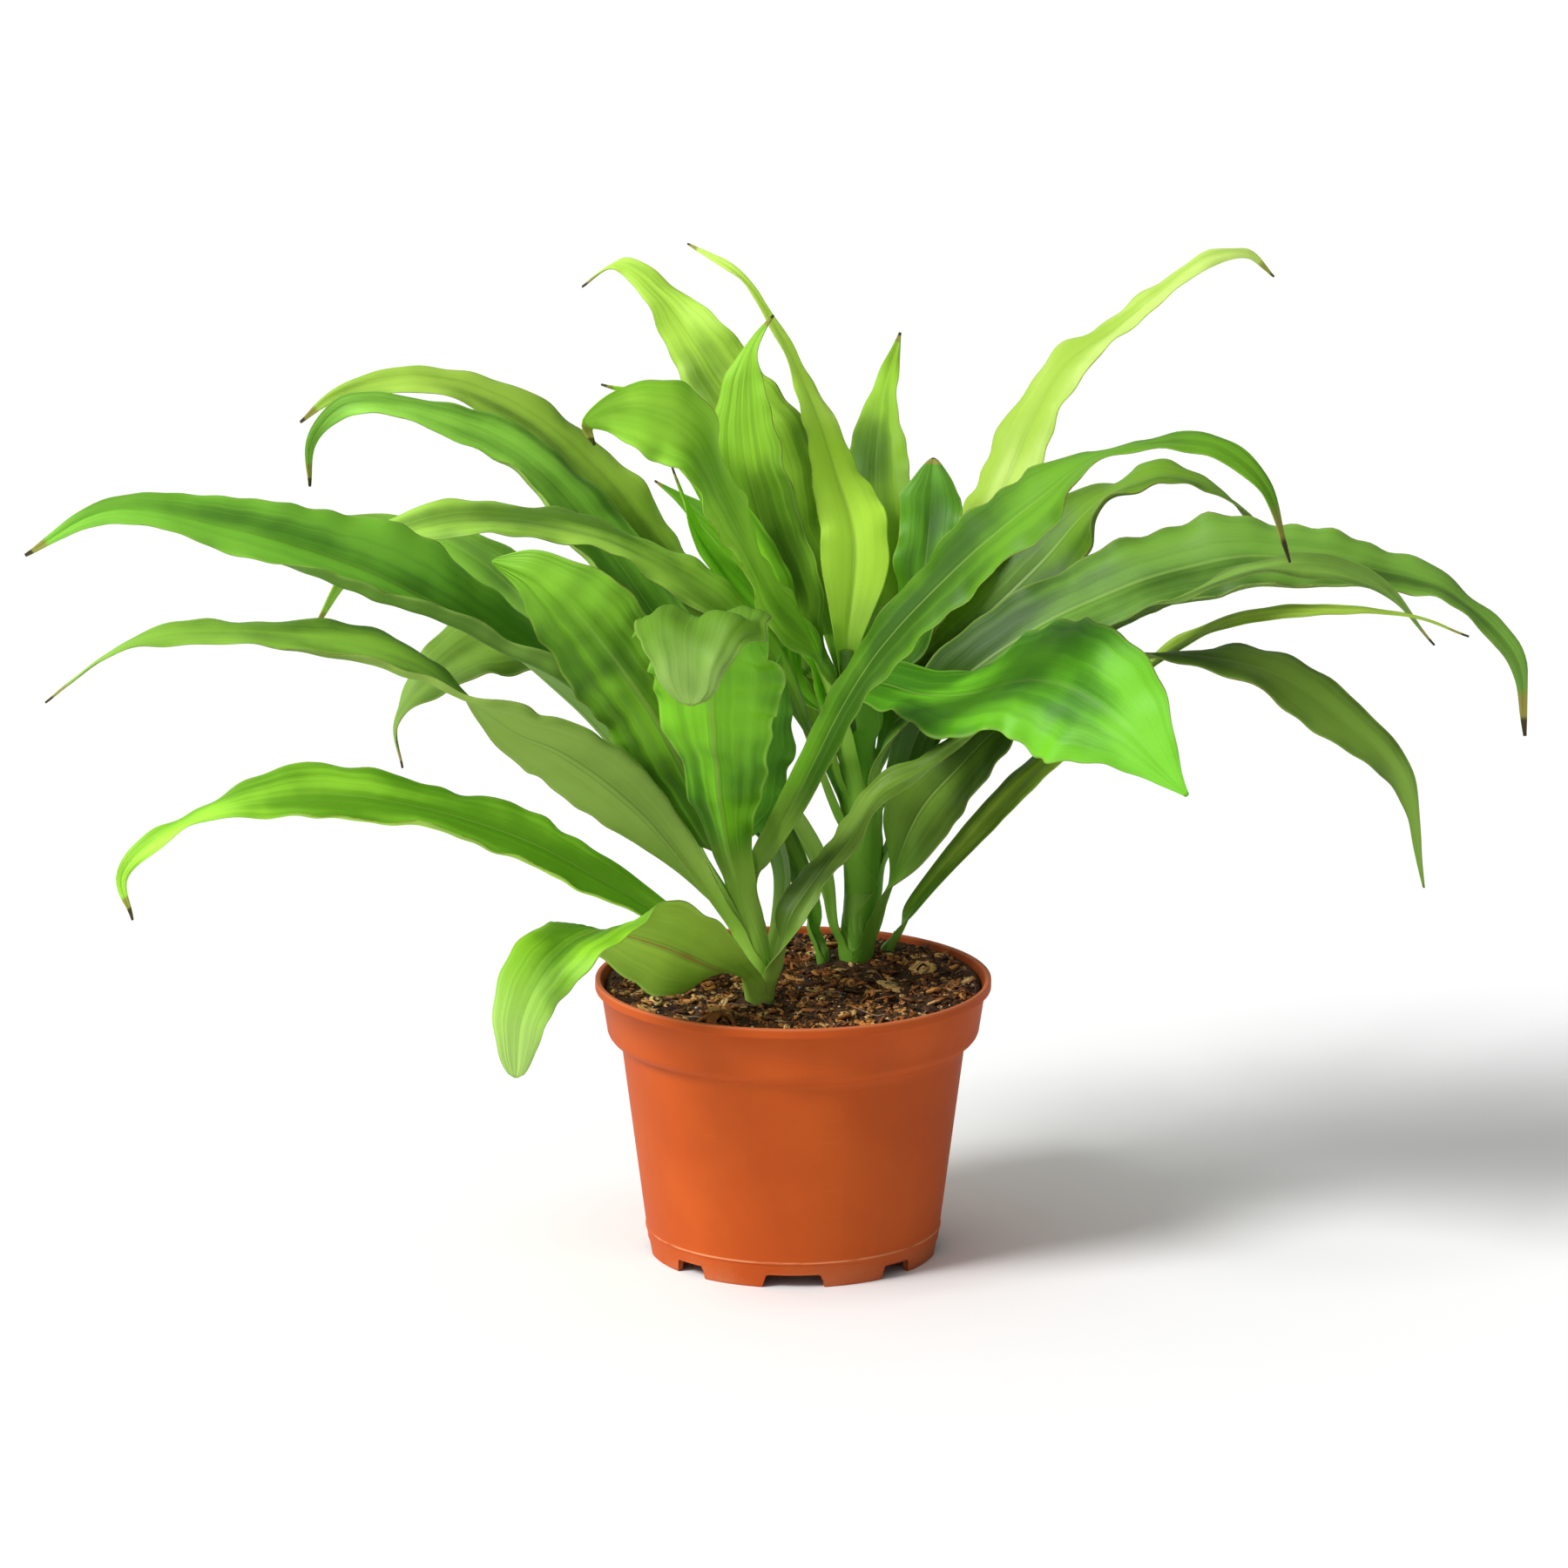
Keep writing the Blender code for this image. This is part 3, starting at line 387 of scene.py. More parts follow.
# How each leaf looks: its finish and that colour's tint; how strong its ribs are; the share of its tip that
# has dried, or, below nought, paled; how crumpled it is in millimetres; whether its pale underside is the
# face turned up; how far the tip is drawn out into a tail (to 1) or left blunt (to -1) and the twist of the
# tail in degrees; the share of a half that curls up at the margin, negative for the other half; the angle by
# which both halves droop outwards, and where along the leaf that begins; how brown its midrib is
Look = namedtuple(
    "Look", "finish tint ribs dry crumple over tail twist curl arch bent rust",
    defaults=(0.7, 0.010, 0.4, 0, 1.0, 45, 0.0, 20, 0.1, 0.0),
)
# Each tint is partly the leaf's own colour and partly painted light and shade, for how lit that leaf is
LOOKS = {
    "leaf_front_01": Look(
        "mid", (1.30, 1.25, 0.80), ribs=1.6, dry=-0.30, crumple=0.5, tail=-1.0, twist=0, arch=10,
        rust=0.75,
    ),
    "leaf_front_02": Look("deep", (1.60, 1.50, 2.40), curl=0.16),
    "leaf_front_03": Look("mid", (0.90, 0.70, 1.30), ribs=0.6),
    "leaf_front_04": Look("mid", (2.40, 2.10, 2.40), ribs=0.8, curl=0.22),
    "leaf_front_05": Look("mid", (1.20, 1.05, 1.70), ribs=0.8, crumple=0.5, curl=0.26),
    "leaf_front_06": Look("mid", (1.10, 1.20, 1.65), curl=0.36),
    "leaf_front_07": Look(
        "bright", (0.65, 0.85, 0.35), ribs=2.2, dry=-0.15, crumple=7, over=1, tail=-0.85, twist=0,
        arch=50, bent=0.58, rust=0.10,
    ),
    "leaf_front_08": Look("mid", (0.60, 0.70, 0.35), ribs=0.8, dry=0.036, curl=-0.10),
    "leaf_front_09": Look(
        "mid", (0.90, 0.95, 0.70), ribs=2.6, dry=0, crumple=1.4, over=1, tail=-0.3, twist=20, arch=12,
        rust=0.20,
    ),
    "leaf_front_10": Look(
        "mid", (0.50, 0.95, 0.35), ribs=1.2, dry=0, crumple=0.6, over=1, tail=0.3, twist=20,
    ),
    "leaf_back_01": Look("mid", (0.60, 0.50, 0.80), ribs=0.6, dry=0),
    "leaf_back_02": Look("mid", (1.30, 1.25, 2.20), ribs=0.8, curl=0.20),
    "leaf_back_03": Look("deep", (1.00, 0.95, 1.75), dry=0.024, crumple=0.5, curl=-0.20),
    "leaf_back_04": Look("mid", (1.60, 1.25, 2.40), dry=0.012),
    "leaf_back_05": Look("mid", (0.90, 0.75, 1.65), ribs=0.6),
    "leaf_back_06": Look("mid", (1.75, 1.25, 2.40)),
    "leaf_back_07": Look("mid", (2.40, 2.40, 2.05), ribs=1.0, dry=0.020, crumple=0.5),
    "leaf_back_08": Look("deep", (0.90, 0.85, 0.65), curl=-0.20),
    "leaf_back_09": Look("mid", (0.60, 0.75, 0.35), ribs=0.6),
    "leaf_back_10": Look("bright", (2.15, 1.90, 2.40), dry=0.020, crumple=0.5, tail=0.0, twist=0),
    "leaf_back_11": Look(
        "bright", (0.60, 0.90, 0.50), ribs=0.9, dry=0, crumple=0.6, tail=0.0, twist=0, arch=26,
    ),
    "leaf_back_12": Look("mid", (2.40, 2.40, 1.55)),
    "leaf_back_13": Look("lime", (1.05, 0.95, 2.20), ribs=0.3, dry=0.012),
    "leaf_back_14": Look("mid", (1.20, 1.10, 1.00), ribs=3.0, dry=0.014, crumple=1, tail=0.0),
    "leaf_back_15": Look("mid", (0.45, 0.60, 0.35), crumple=0.5, tail=-0.45, twist=0),
    "leaf_back_16": Look("mid", (1.95, 1.40, 2.40), ribs=1.3, tail=0.0, twist=10),
    "leaf_back_17": Look("bright", (0.95, 0.85, 0.65), tail=0.0),
    "leaf_back_18": Look("lime", (1.70, 1.60, 2.60), ribs=0.3),
    "leaf_small_01": Look("mid", (0.80, 0.65, 1.20), ribs=0.8, crumple=0.5),
    "leaf_side_01": Look("deep", (2.40, 1.60, 2.40), ribs=0.8),
}


def in_metres(leaf):
    """The leaf with its lengths in metres; the rolls along its route stay in degrees."""
    lengths = {key: getattr(leaf, key) / 1000 for key in ("height", "neck", "width", "ripple")}
    return leaf._replace(route=np.array(leaf.route) / (1000, 1000, 1000, 1), **lengths)


STEMS = {name: np.array(line) / 1000 for name, line in SHOOTS.items()}
STRAPS = {name: in_metres(leaf) for name, leaf in LEAVES.items()}


class Wire:
    """A shader socket to reckon with: each operator adds the Math node that does it."""

    def __init__(self, finish, socket):
        self.finish = finish
        self.socket = socket

    def __add__(self, other):
        return self.finish.math("ADD", self, other)

    def __sub__(self, other):
        return self.finish.math("SUBTRACT", self, other)

    def __rsub__(self, other):
        return self.finish.math("SUBTRACT", other, self)

    def __mul__(self, other):
        return self.finish.math("MULTIPLY", self, other)

    def __abs__(self):
        return self.finish.math("ABSOLUTE", self)

    __radd__ = __add__
    __rmul__ = __mul__

    def step(self, low, high):
        """0 below low and 1 above high, eased between them; with low above high it falls instead."""
        if low < high:
            ends = {"From Min": low, "From Max": high, "To Min": 0.0, "To Max": 1.0}
        else:
            ends = {"From Min": high, "From Max": low, "To Min": 1.0, "To Max": 0.0}
        settings = {"interpolation_type": "SMOOTHSTEP"}
        return self.finish.node("ShaderNodeMapRange", settings, {"Value": self, **ends})


class Finish:
    """A material or a sky in the making: its nodes, and the colour that has been laid so far."""

    def __init__(self, owner, **constants):
        owner.use_nodes = True
        self.owner = owner
        self.nodes = owner.node_tree.nodes
        self.colour = None
        self.wear(**constants)

    def node(self, kind, settings=None, values=None, out=0):
        """A node of this kind, with its settings and its sockets' values or links: it gives one output."""
        made = self.nodes.new(kind)
        for key, value in (settings or {}).items():
            if key == "stops":
                for _ in value[2:]:
                    made.color_ramp.elements.new(0.5)
                for element, (place, colour) in zip(made.color_ramp.elements, value):
                    element.position = place
                    element.color = (*colour, 1.0)
            else:
                setattr(made, key, value)
        for key, value in (values or {}).items():
            self.feed(made.inputs[key], value)
        return Wire(self, made.outputs[out])

    def feed(self, socket, value):
        """Links a wire to the socket, or sets its value, where three numbers together are a colour."""
        if isinstance(value, Wire):
            self.owner.node_tree.links.new(value.socket, socket)
        else:
            socket.default_value = (*value, 1.0) if isinstance(value, tuple) else value

    def wear(self, **inputs):
        """Feeds the shader's own sockets, named with underscores for their spaces."""
        for key, value in inputs.items():
            self.feed(self.nodes["Principled BSDF"].inputs[key.replace("_", " ")], value)

    def math(self, operation, *values):
        return self.node("ShaderNodeMath", {"operation": operation}, dict(enumerate(values)))

    def mix(self, share, first, second):
        """The first colour with this share of the second."""
        return self.node("ShaderNodeMix", {"data_type": "RGBA"}, {0: share, 6: first, 7: second}, 2)

    def lay(self, share, colour):
        """Lays this share of a colour over what has been laid so far."""
        self.colour = self.mix(share, self.colour, colour)

    def place(self):
        return self.node("ShaderNodeTexCoord", out="Object")

    def parts(self, vector):
        """The three components of a vector."""
        made = self.node("ShaderNodeSeparateXYZ", None, {0: vector})
        return [Wire(self, socket) for socket in made.socket.node.outputs]

    def vector(self, x, y, z):
        return self.node("ShaderNodeCombineXYZ", None, {0: x, 1: y, 2: z})

    def blade_map(self):
        """The two coordinates of the blade map, both from 0 to 1."""
        return self.parts(self.node("ShaderNodeUVMap", {"uv_map": "blade"}))[:2]

    def attribute(self, name):
        return self.node("ShaderNodeAttribute", {"attribute_name": name}, out="Fac")

    def noise(self, vector, scale=1.0, detail=2.0, roughness=0.5):
        values = {"Vector": vector, "Scale": scale, "Detail": detail, "Roughness": roughness}
        return self.node("ShaderNodeTexNoise", None, values)

    def bump(self, height, distance, strength):
        values = {"Height": height, "Distance": distance, "Strength": strength}
        self.wear(Normal=self.node("ShaderNodeBump", None, values))

    def glow_through(self, share, colour):
        """Lets this share of the light through, as a thin blade does."""
        thin = self.node("ShaderNodeBsdfTranslucent", None, {"Color": colour})
        shader = Wire(self, self.nodes["Principled BSDF"].outputs[0])
        mixed = self.node("ShaderNodeMixShader", None, {0: share, 1: shader, 2: thin})
        self.feed(self.nodes["Material Output"].inputs["Surface"], mixed)


def capped(colour, share=1.0):
    """This share of the colour, scaled down as a whole where its strongest part would pass 1."""
    share = min(share, 1.0 / max(colour))
    return tuple(c * share for c in colour)


def calmed(tint):
    """A leaf's tint as its underside takes it: only a third as much redder or bluer than its green."""
    red, green, blue = tint
    return min(red, green + (red - green) / 3), green, min(blue, green + (blue - green) / 3)


def leaf_finish(name, leaf, look, seed):
    """A leaf's skin, on its blade map: across runs from margin to margin and along from root to tip.

    Fine veins and broad ribs are noises stretched along the blade. The midrib, the margins, the clasping
    base and the dried tip are eased bands of the two coordinates. The underside is told by an attribute.
    """
    _, glow, *tones = FINISHES[look.finish]
    tints = (look.tint, look.tint, calmed(look.tint))
    shaded_tone, lit_tone, below = [capped([c * t for c, t in zip(*pair)]) for pair in zip(tones, tints)]
    pale = capped([c + 0.02 for c in lit_tone], 1.2)
    finish = Finish(bpy.data.materials.new(name), Specular_IOR_Level=0.25)
    across, along = finish.blade_map()
    side = across * 2 - 1
    out = abs(side)
    under = finish.attribute("under")
    shift = seed * 1.37
    fine = side * (leaf.width * 1100)
    veins = finish.noise(finish.vector(fine, along * 1.6, shift), roughness=0.6)
    ribs = finish.noise(finish.vector(side * 5.2, along * 0.8, shift + 3.7), detail=1.0)
    sweep = finish.noise(finish.vector(side * 0.8, along * 3.6, shift + 9.1), detail=1.0)
    patches = finish.noise(finish.place(), 60.0)
    specks = finish.noise(finish.place(), 420.0, roughness=0.6)

    # Painted light and shade: broad noise, darker towards the root, mixes the shaded and lit greens
    slow = ribs * 0.14 + veins * 0.12 + sweep * 1.16 + patches * 0.25
    light = (slow + along * 0.34 - 0.16).step(0.65, 1.03)
    # Pale veins, with painted highlights on the ribs; the furrows between them take painted shade
    streaks = veins.step(0.52, 0.78) * 0.12 + ribs.step(0.54, 0.72) * min(0.42, 0.11 * look.ribs)
    furrow_shade = ribs.step(0.44, 0.28) * min(0.50, 0.03 + 0.12 * look.ribs)
    # The underside takes painted shade from the same noise and in the furrows, and paler veins
    lower = finish.mix(light * 0.9, below, capped(below, 0.55))
    lower = finish.mix(veins.step(0.45, 0.7) * 0.28, lower, capped(below, 1.3))
    lower = finish.mix(furrow_shade * 0.8, lower, capped(below, 0.55))
    finish.colour = finish.mix(light, shaded_tone, lit_tone)
    finish.lay(streaks, pale)
    finish.lay(furrow_shade, capped(shaded_tone, 0.75))
    # Painted light: lighter towards the tip in the pale lit green
    finish.lay((along + sweep * 0.1).step(0.72, 1.02) * 0.40, pale)
    finish.lay(under, lower)

    finish.lay(out.step(0.045, 0.010) * along.step(0.92, 0.35) * 0.48, MIDRIB_TONE)
    beside = out + veins * 0.05 - patches * 0.10
    rust = beside.step(0.050, -0.030) * abs(along - 0.35).step(0.35, 0.12)
    finish.lay(rust * look.rust, RUST_TONE)
    # Painted shade in the groove beside the midrib
    groove_shade = abs(out - 0.065).step(0.026, 0.0) * along.step(0.8, 0.2)
    finish.lay(groove_shade * 0.50, capped(shaded_tone, 0.65))
    # The clasping base is laid paler, on the front shoot lighter still as painted light
    clasp = along.step(0.20, -0.02)
    clasp_tone, shown = LIT_CLASP_TONES.get(leaf.shoot, OTHER_CLASP)
    finish.lay(clasp * (LIME_CLASP if look.finish == "lime" else shown), clasp_tone)
    margin = out.step(0.970, 0.995) * (specks * 0.5 + patches).step(0.72, 0.95)
    finish.lay(margin * 0.60, MARGIN_TONE)
    finish.lay(out.step(0.93, 0.985) * (1 - margin) * 0.34, EDGE_TONE)
    finish.lay(specks.step(0.70, 0.76) * patches.step(0.52, 0.68) * 0.30, SPOT_TONE)
    if look.dry < 0:
        bleached = (along + ribs * 0.08).step(1.04 + look.dry, 1.01) * (1 - under * 0.5)
        finish.lay(bleached * 0.75, BLEACHED_TONE)
    if look.dry > 0:
        worn = along + patches * 0.03
        finish.lay(worn.step(1.0 - look.dry * 1.6, 1.0 - look.dry * 0.9) * 0.85, FADED_TONE)
        finish.lay(worn.step(1.012 - look.dry * 0.85, 1.012 - look.dry * 0.55) * 0.92, DEAD_TONE)

    finish.wear(Base_Color=finish.colour, Roughness=0.37 + patches * 0.16 + under * 0.16 + clasp * 0.1)
    finish.bump(veins * 0.30 + ribs * look.ribs * 1.2 + sweep * 0.8 + specks * 0.04, 0.0006, 0.6)
    finish.glow_through(glow, finish.mix(0.5, finish.colour, capped(lit_tone, 1.15)))
    return finish.owner


def pot_finish():
    """Moulded terracotta plastic: slow shifts of tone, a painted rim highlight, a dusty foot, drips and
    scuffs.
    """
    finish = Finish(bpy.data.materials.new("terracotta_plastic_moulded"), Specular_IOR_Level=0.12)
    place = finish.place()
    x, y, z = finish.parts(place)
    turn = finish.math("ARCTAN2", y, x)
    tone = finish.noise(place, 22.0, 3.0)
    grain = finish.noise(place, 900.0, 3.0, 0.6)
    drips = finish.noise(finish.vector(turn * 9.0, z * 14.0, 2.0), 1.0, 3.0, 0.6)
    scuffs = finish.noise(finish.vector(turn * 4.0, z * 900.0, 5.0), 1.0, 3.0, 0.65)
    finish.colour = finish.mix(tone.step(0.3, 0.7), *POT_TONES)
    finish.lay(drips.step(0.52, 0.74) * 0.22, DRIP_TONE)
    finish.lay(scuffs.step(0.60, 0.74) * tone.step(0.45, 0.6) * 0.12, SCUFF_TONE)
    # Painted highlight: the top of the rim is laid lighter where light falls on it
    rim = z.step(POT_HEIGHT - 0.0012, POT_HEIGHT - 0.0002)
    finish.lay(rim * 0.35, RIM_HIGHLIGHT_TONE)
    dust = z.step(0.013, 0.001) * (tone + grain * 0.4).step(0.5, 0.9)
    finish.lay(dust * 0.35, DUST_TONE)
    slope = (LIP_TOP_RADIUS - LIP_LOW_RADIUS) / (BEAD_LOW - LIP_LOW)
    depth = finish.math("SQRT", x * x + y * y) - (LIP_LOW_RADIUS - slope * LIP_LOW) - z * slope
    inside = depth.step(-0.0004, -0.0009) * z.step(0.095, 0.102) * (1 - rim)
    finish.lay(inside * (grain + tone * 0.6 - z * 40.0 + 4.2).step(0.62, 0.92) * 0.7, SOILED_TONE)
    crest = abs(z - (RING_HEIGHT + 0.0004)).step(0.0005, 0.0001)
    finish.lay(crest * (scuffs + tone * 0.4).step(0.52, 0.72) * 0.60, WORN_TONE)
    finish.wear(Base_Color=finish.colour, Roughness=0.50 + tone * 0.14 + dust * 0.2)
    finish.bump(grain * 0.35 + drips * 0.4 + scuffs * 0.25, 0.00018, 0.6)
    return finish.owner


def soil_finish():
    """Moist peat: near-black crumbs with browner ones between, rough and deeply bumped."""
    finish = Finish(bpy.data.materials.new("potting_soil_crumb"), Specular_IOR_Level=0.25)
    place = finish.place()
    crumbs = finish.node("ShaderNodeTexVoronoi", None, {"Vector": place, "Scale": 520.0})
    fine = finish.noise(place, 1400.0, 4.0, 0.7)
    tone = finish.noise(place, 90.0, 3.0)
    finish.colour = finish.mix((fine + tone * 0.6).step(0.6, 1.1), *SOIL_TONES)
    finish.lay(fine.step(0.66, 0.78) * 0.6, CRUMB_TONE)
    finish.wear(Base_Color=finish.colour, Roughness=0.82 + fine * 0.15)
    finish.bump(fine * 0.7 + (1 - crumbs) * 0.5, 0.0009, 1.0)
    return finish.owner


def chip_finish(name, stops):
    """Bark, wood or perlite: one tone for each bit from its own attribute, with a grain of fine noise."""
    finish = Finish(bpy.data.materials.new(name), Specular_IOR_Level=0.3)
    grain = finish.noise(finish.place(), 1100.0, 4.0, 0.65)
    base = finish.node("ShaderNodeValToRGB", {"stops": stops}, {0: finish.attribute("tint")})
    colour = finish.mix(grain.step(0.44, 0.66) * 0.6, base, finish.mix(0.50, base, PORE_TONE))
    finish.wear(Base_Color=colour, Roughness=0.72 + grain * 0.2)
    finish.bump(grain, 0.0006, 0.9)
    return finish.owner


def stem_finish():
    """Overlapping sheaths: pale green with fine lengthwise veins, browned where a sheath ends."""
    finish = Finish(bpy.data.materials.new("stem_green_sheaths"), Specular_IOR_Level=0.4)
    across, along = finish.blade_map()
    lap = finish.attribute("lap")
    veins = finish.noise(finish.vector(across * 46.0, along * 3.0, 1.0), 1.0, 3.0, 0.6)
    tone = finish.noise(finish.place(), 70.0)
    finish.colour = finish.mix((veins + tone * 0.6).step(0.55, 1.0), *STEM_TONES)
    # Painted light: the sheaths are laid lighter towards the foot, leaving them darker above as painted shade
    finish.lay(along.step(0.50, 0.15) * 0.85, STEM_FOOT_LIT_TONE)
    finish.lay(lap.step(0.90, 0.985) * 0.35, LAP_TONE)
    finish.lay(lap.step(0.10, 0.0) * 0.25, LAP_SHADE)
    finish.wear(Base_Color=finish.colour, Roughness=0.42 + tone * 0.15)
    finish.bump(veins, 0.0004, 0.7)
    return finish.owner


def unit(vectors):
    return vectors / np.linalg.norm(vectors, axis=-1, keepdims=True)


def ease(x):
    """A smooth step from 0 to 1."""
    x = np.clip(x, 0.0, 1.0)
    return x * x * (3.0 - 2.0 * x)


def between(t, start, end, first, last):
    return ((end - t) * first + (t - start) * last) / (end - start)


def smoothed(values, span):
    """A row of values, each made the mean of its neighbours under a bell of this span."""
    kernel = np.hanning(span) / np.hanning(span).sum()
    return np.convolve(np.pad(values, span // 2, mode="edge"), kernel, mode="valid")


def polar(radius, turn):
    """The points (x, y) at these radii and angles."""
    return np.stack([radius * np.cos(turn), radius * np.sin(turn)], axis=-1)


def smooth_path(rows, shares):
    """A centripetal Catmull-Rom curve through the rows (x, y, z, roll), read at shares of its length."""
    rows = np.vstack([2 * rows[0] - rows[1], rows, 2 * rows[-1] - rows[-2]])
    chords = np.linalg.norm(np.diff(rows[:, :3], axis=0), axis=1)
    knots = np.concatenate([[0.0], np.cumsum(np.sqrt(chords))])
    pieces = []
    for i in range(1, len(rows) - 2):
        t = np.linspace(knots[i], knots[i + 1], PATH_STEPS + 1)[:-1, None]
        a = [between(t, knots[j], knots[j + 1], rows[j], rows[j + 1]) for j in (i - 1, i, i + 1)]
        b = [between(t, knots[i - 1 + j], knots[i + 1 + j], a[j], a[j + 1]) for j in (0, 1)]
        pieces.append(between(t, knots[i], knots[i + 1], b[0], b[1]))
    fine = np.vstack([*pieces, rows[-2]])
    run = np.concatenate([[0.0], np.cumsum(np.linalg.norm(np.diff(fine[:, :3], axis=0), axis=1))])
    at = shares * run[-1]
    return np.stack([np.interp(at, run, fine[:, k]) for k in range(4)], axis=1), run[-1]


def waves(points, sizes, seed):
    """A smooth unevenness from -1 to 1: the mean of sines of each of these sizes in random directions."""
    chance = np.random.default_rng(seed)
    total = np.zeros(points.shape[:-1])
    for size in sizes:
        direction = unit(chance.normal(size=(5, points.shape[-1])))
        phase = chance.uniform(0.0, math.tau, 5)
        total += np.sin(points @ direction.T * (math.tau / size) + phase).mean(axis=-1)
    return total / len(sizes)


def mesh_piece(name, points, faces, material, uv=None, marks=None):
    """A smooth mesh object of these points and blocks of faces, kept inside the frame's box.

    The uv pairs and the marks are given one for each point.
    """
    data = bpy.data.meshes.new(name)
    points = np.clip(points, LOWEST, HIGHEST)
    data.from_pydata(points.tolist(), [], sum([block.tolist() for block in faces], []))
    if uv is not None:
        corners = np.empty(len(data.loops), np.int32)
        data.loops.foreach_get("vertex_index", corners)
        layer = data.uv_layers.new(name="blade")
        layer.data.foreach_set("uv", uv[corners].astype(np.float32).ravel())
    for mark, values in (marks or {}).items():
        data.attributes.new(mark, "FLOAT", "POINT").data.foreach_set("value", values.astype(np.float32))
    data.shade_smooth()
    data.materials.append(material)
    data.update()
    obj = bpy.data.objects.new(name, data)
    bpy.context.scene.collection.objects.link(obj)
    return obj


def fit(piece, slot, *nodes):
    """The piece rides on the plant and stands for these nodes, which are hidden; the slot is not used."""
    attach(piece, "root")
    if nodes:
        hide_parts(*nodes)


def grid_quads(rows, columns, wraps=False):
    """The faces of a grid numbered row by row; where it wraps, the last column meets the first."""
    index = np.arange(rows * columns).reshape(rows, columns)
    if wraps:
        index = np.hstack([index, index[:, :1]])
    a, b, c, d = index[:-1, :-1], index[1:, :-1], index[1:, 1:], index[:-1, 1:]
    return np.stack([a, b, c, d], axis=-1).reshape(-1, 4)


def closed_round(grid, ends):
    """The points and blocks of faces of a grid that wraps round, with a fan to one point at each end."""
    rows, columns = grid.shape[:2]
    ring = np.arange(columns)
    after = np.roll(ring, -1)
    last = (rows - 1) * columns
    faces = [
        grid_quads(rows, columns, wraps=True),
        np.stack([ring, after, np.full(columns, rows * columns)], axis=1),
        np.stack([after + last, ring + last, np.full(columns, rows * columns + 1)], axis=1),
    ]
    return np.concatenate([grid.reshape(-1, 3), ends]), faces


def repeated(faces, count, each):
    """The blocks of faces of one bit for many bits that have this many points each."""
    offsets = np.arange(count)[:, None, None] * each
    return [(block + offsets).reshape(-1, block.shape[1]) for block in faces]


def stem_at(name, z):
    """Centre and radius of the stem at a height."""
    line = STEMS[name]
    z = np.asarray(z, dtype=float)
    x, y, radius = [np.interp(z, line[:, 2], line[:, k]) for k in (0, 1, 3)]
    return np.stack([x, y, z], axis=-1), radius


def leaf_route(leaf):
    """The midrib's points from the sheath's foot to the tip, the sheath's length and the radius it clasps.

    The sheath runs down the stem from the leaf's root, drawing in against it, as far as the soil allows.
    """
    centre, radius = stem_at(leaf.shoot, leaf.height)
    turn = math.radians(leaf.azimuth)
    out = np.array([math.cos(turn), math.sin(turn), 0.0])
    clasped = radius + SEAT
    root = centre + out * clasped
    neck = root + out * NECK_OUT + np.array([0.0, 0.0, NECK_UP])
    drop = min(SHEATH, leaf.height - SOIL_TOP + 0.003)
    sheath = []
    for share in (1.0, 0.67, 0.33):
        centre, radius = stem_at(leaf.shoot, leaf.height - drop * share)
        sheath.append((*(centre + out * (radius - SHEATH_SUNK * share + SEAT * (1 - share))), 0.0))
    return np.array([*sheath, (*root, 0.0), (*neck, 0.0), *leaf.route]), drop, clasped


def width_share(u, leaf, look):
    """Share of the full width along the blade: a narrow neck, a long blade, and a tip.

    The tip is a plain one, mixed with a drawn-out tail where look.tail is above nought, or with a blunt end
    where it is below.
    """
    neck = leaf.neck / leaf.width
    opened = neck + (1 - neck) * ease((u - 0.04) / (leaf.opens - 0.04))
    fall = np.clip((u - leaf.narrows) / (1 - leaf.narrows), 0.0, 1.0)
    plain = (1 - fall ** 1.3) ** 1.2
    if look.tail > 0:
        other = (1 - fall) ** 1.5 * 0.84 + 0.16 * (1 - fall ** 4)
    else:
        other = (1 - 0.66 * fall) * (1 - fall ** 9) ** 0.5
    tip = abs(look.tail) * other + (1 - abs(look.tail)) * plain
    return opened * (TIP_SHARE + (1 - TIP_SHARE) * tip)


def running_sum(steps, middle):
    """Running sums along the columns, made nought at the middle one."""
    total = np.concatenate([np.zeros((len(steps), 1)), np.cumsum(steps, axis=1)], axis=1)
    return total - total[:, middle:middle + 1]


def leaf_frame(leaf, look, route, drop, seed):
    """The blade's length, and for each row its distance from the root, its midrib point and two directions.

    They are the directions across the leaf and out of its face. They begin level and square to the
    smoothed slope of the midrib, and the roll turns them about it.
    """
    even = np.linspace(0.0, 1.0, ROUTE_STEPS)
    dense, length = smooth_path(route, even)
    blade = length - drop
    sheath_rows = np.linspace(-drop, 0.0, SHEATH_ROWS, endpoint=False)
    s = np.concatenate([sheath_rows, np.linspace(0.0, blade, BLADE_ROWS)])
    share = (s + drop) / length
    path, _ = smooth_path(route, share)
    slopes = np.gradient(dense[:, :3], axis=0)
    along = unit(np.stack([np.interp(share, even, smoothed(part, 17)) for part in slopes.T], axis=1))
    turn = math.radians(leaf.azimuth)
    level = np.array([-math.sin(turn), math.cos(turn), 0.0])
    side = unit(level - (along @ level)[:, None] * along)
    face = np.cross(along, side)
    twist = (-1) ** seed * look.twist * ease((np.clip(s / blade, 0.0, 1.0) - 0.82) / 0.12)
    roll = np.radians(path[:, 3] + twist)[:, None]
    side, face = np.cos(roll) * side + np.sin(roll) * face, np.cos(roll) * face - np.sin(roll) * side
    return blade, s, path[:, :3], side, face


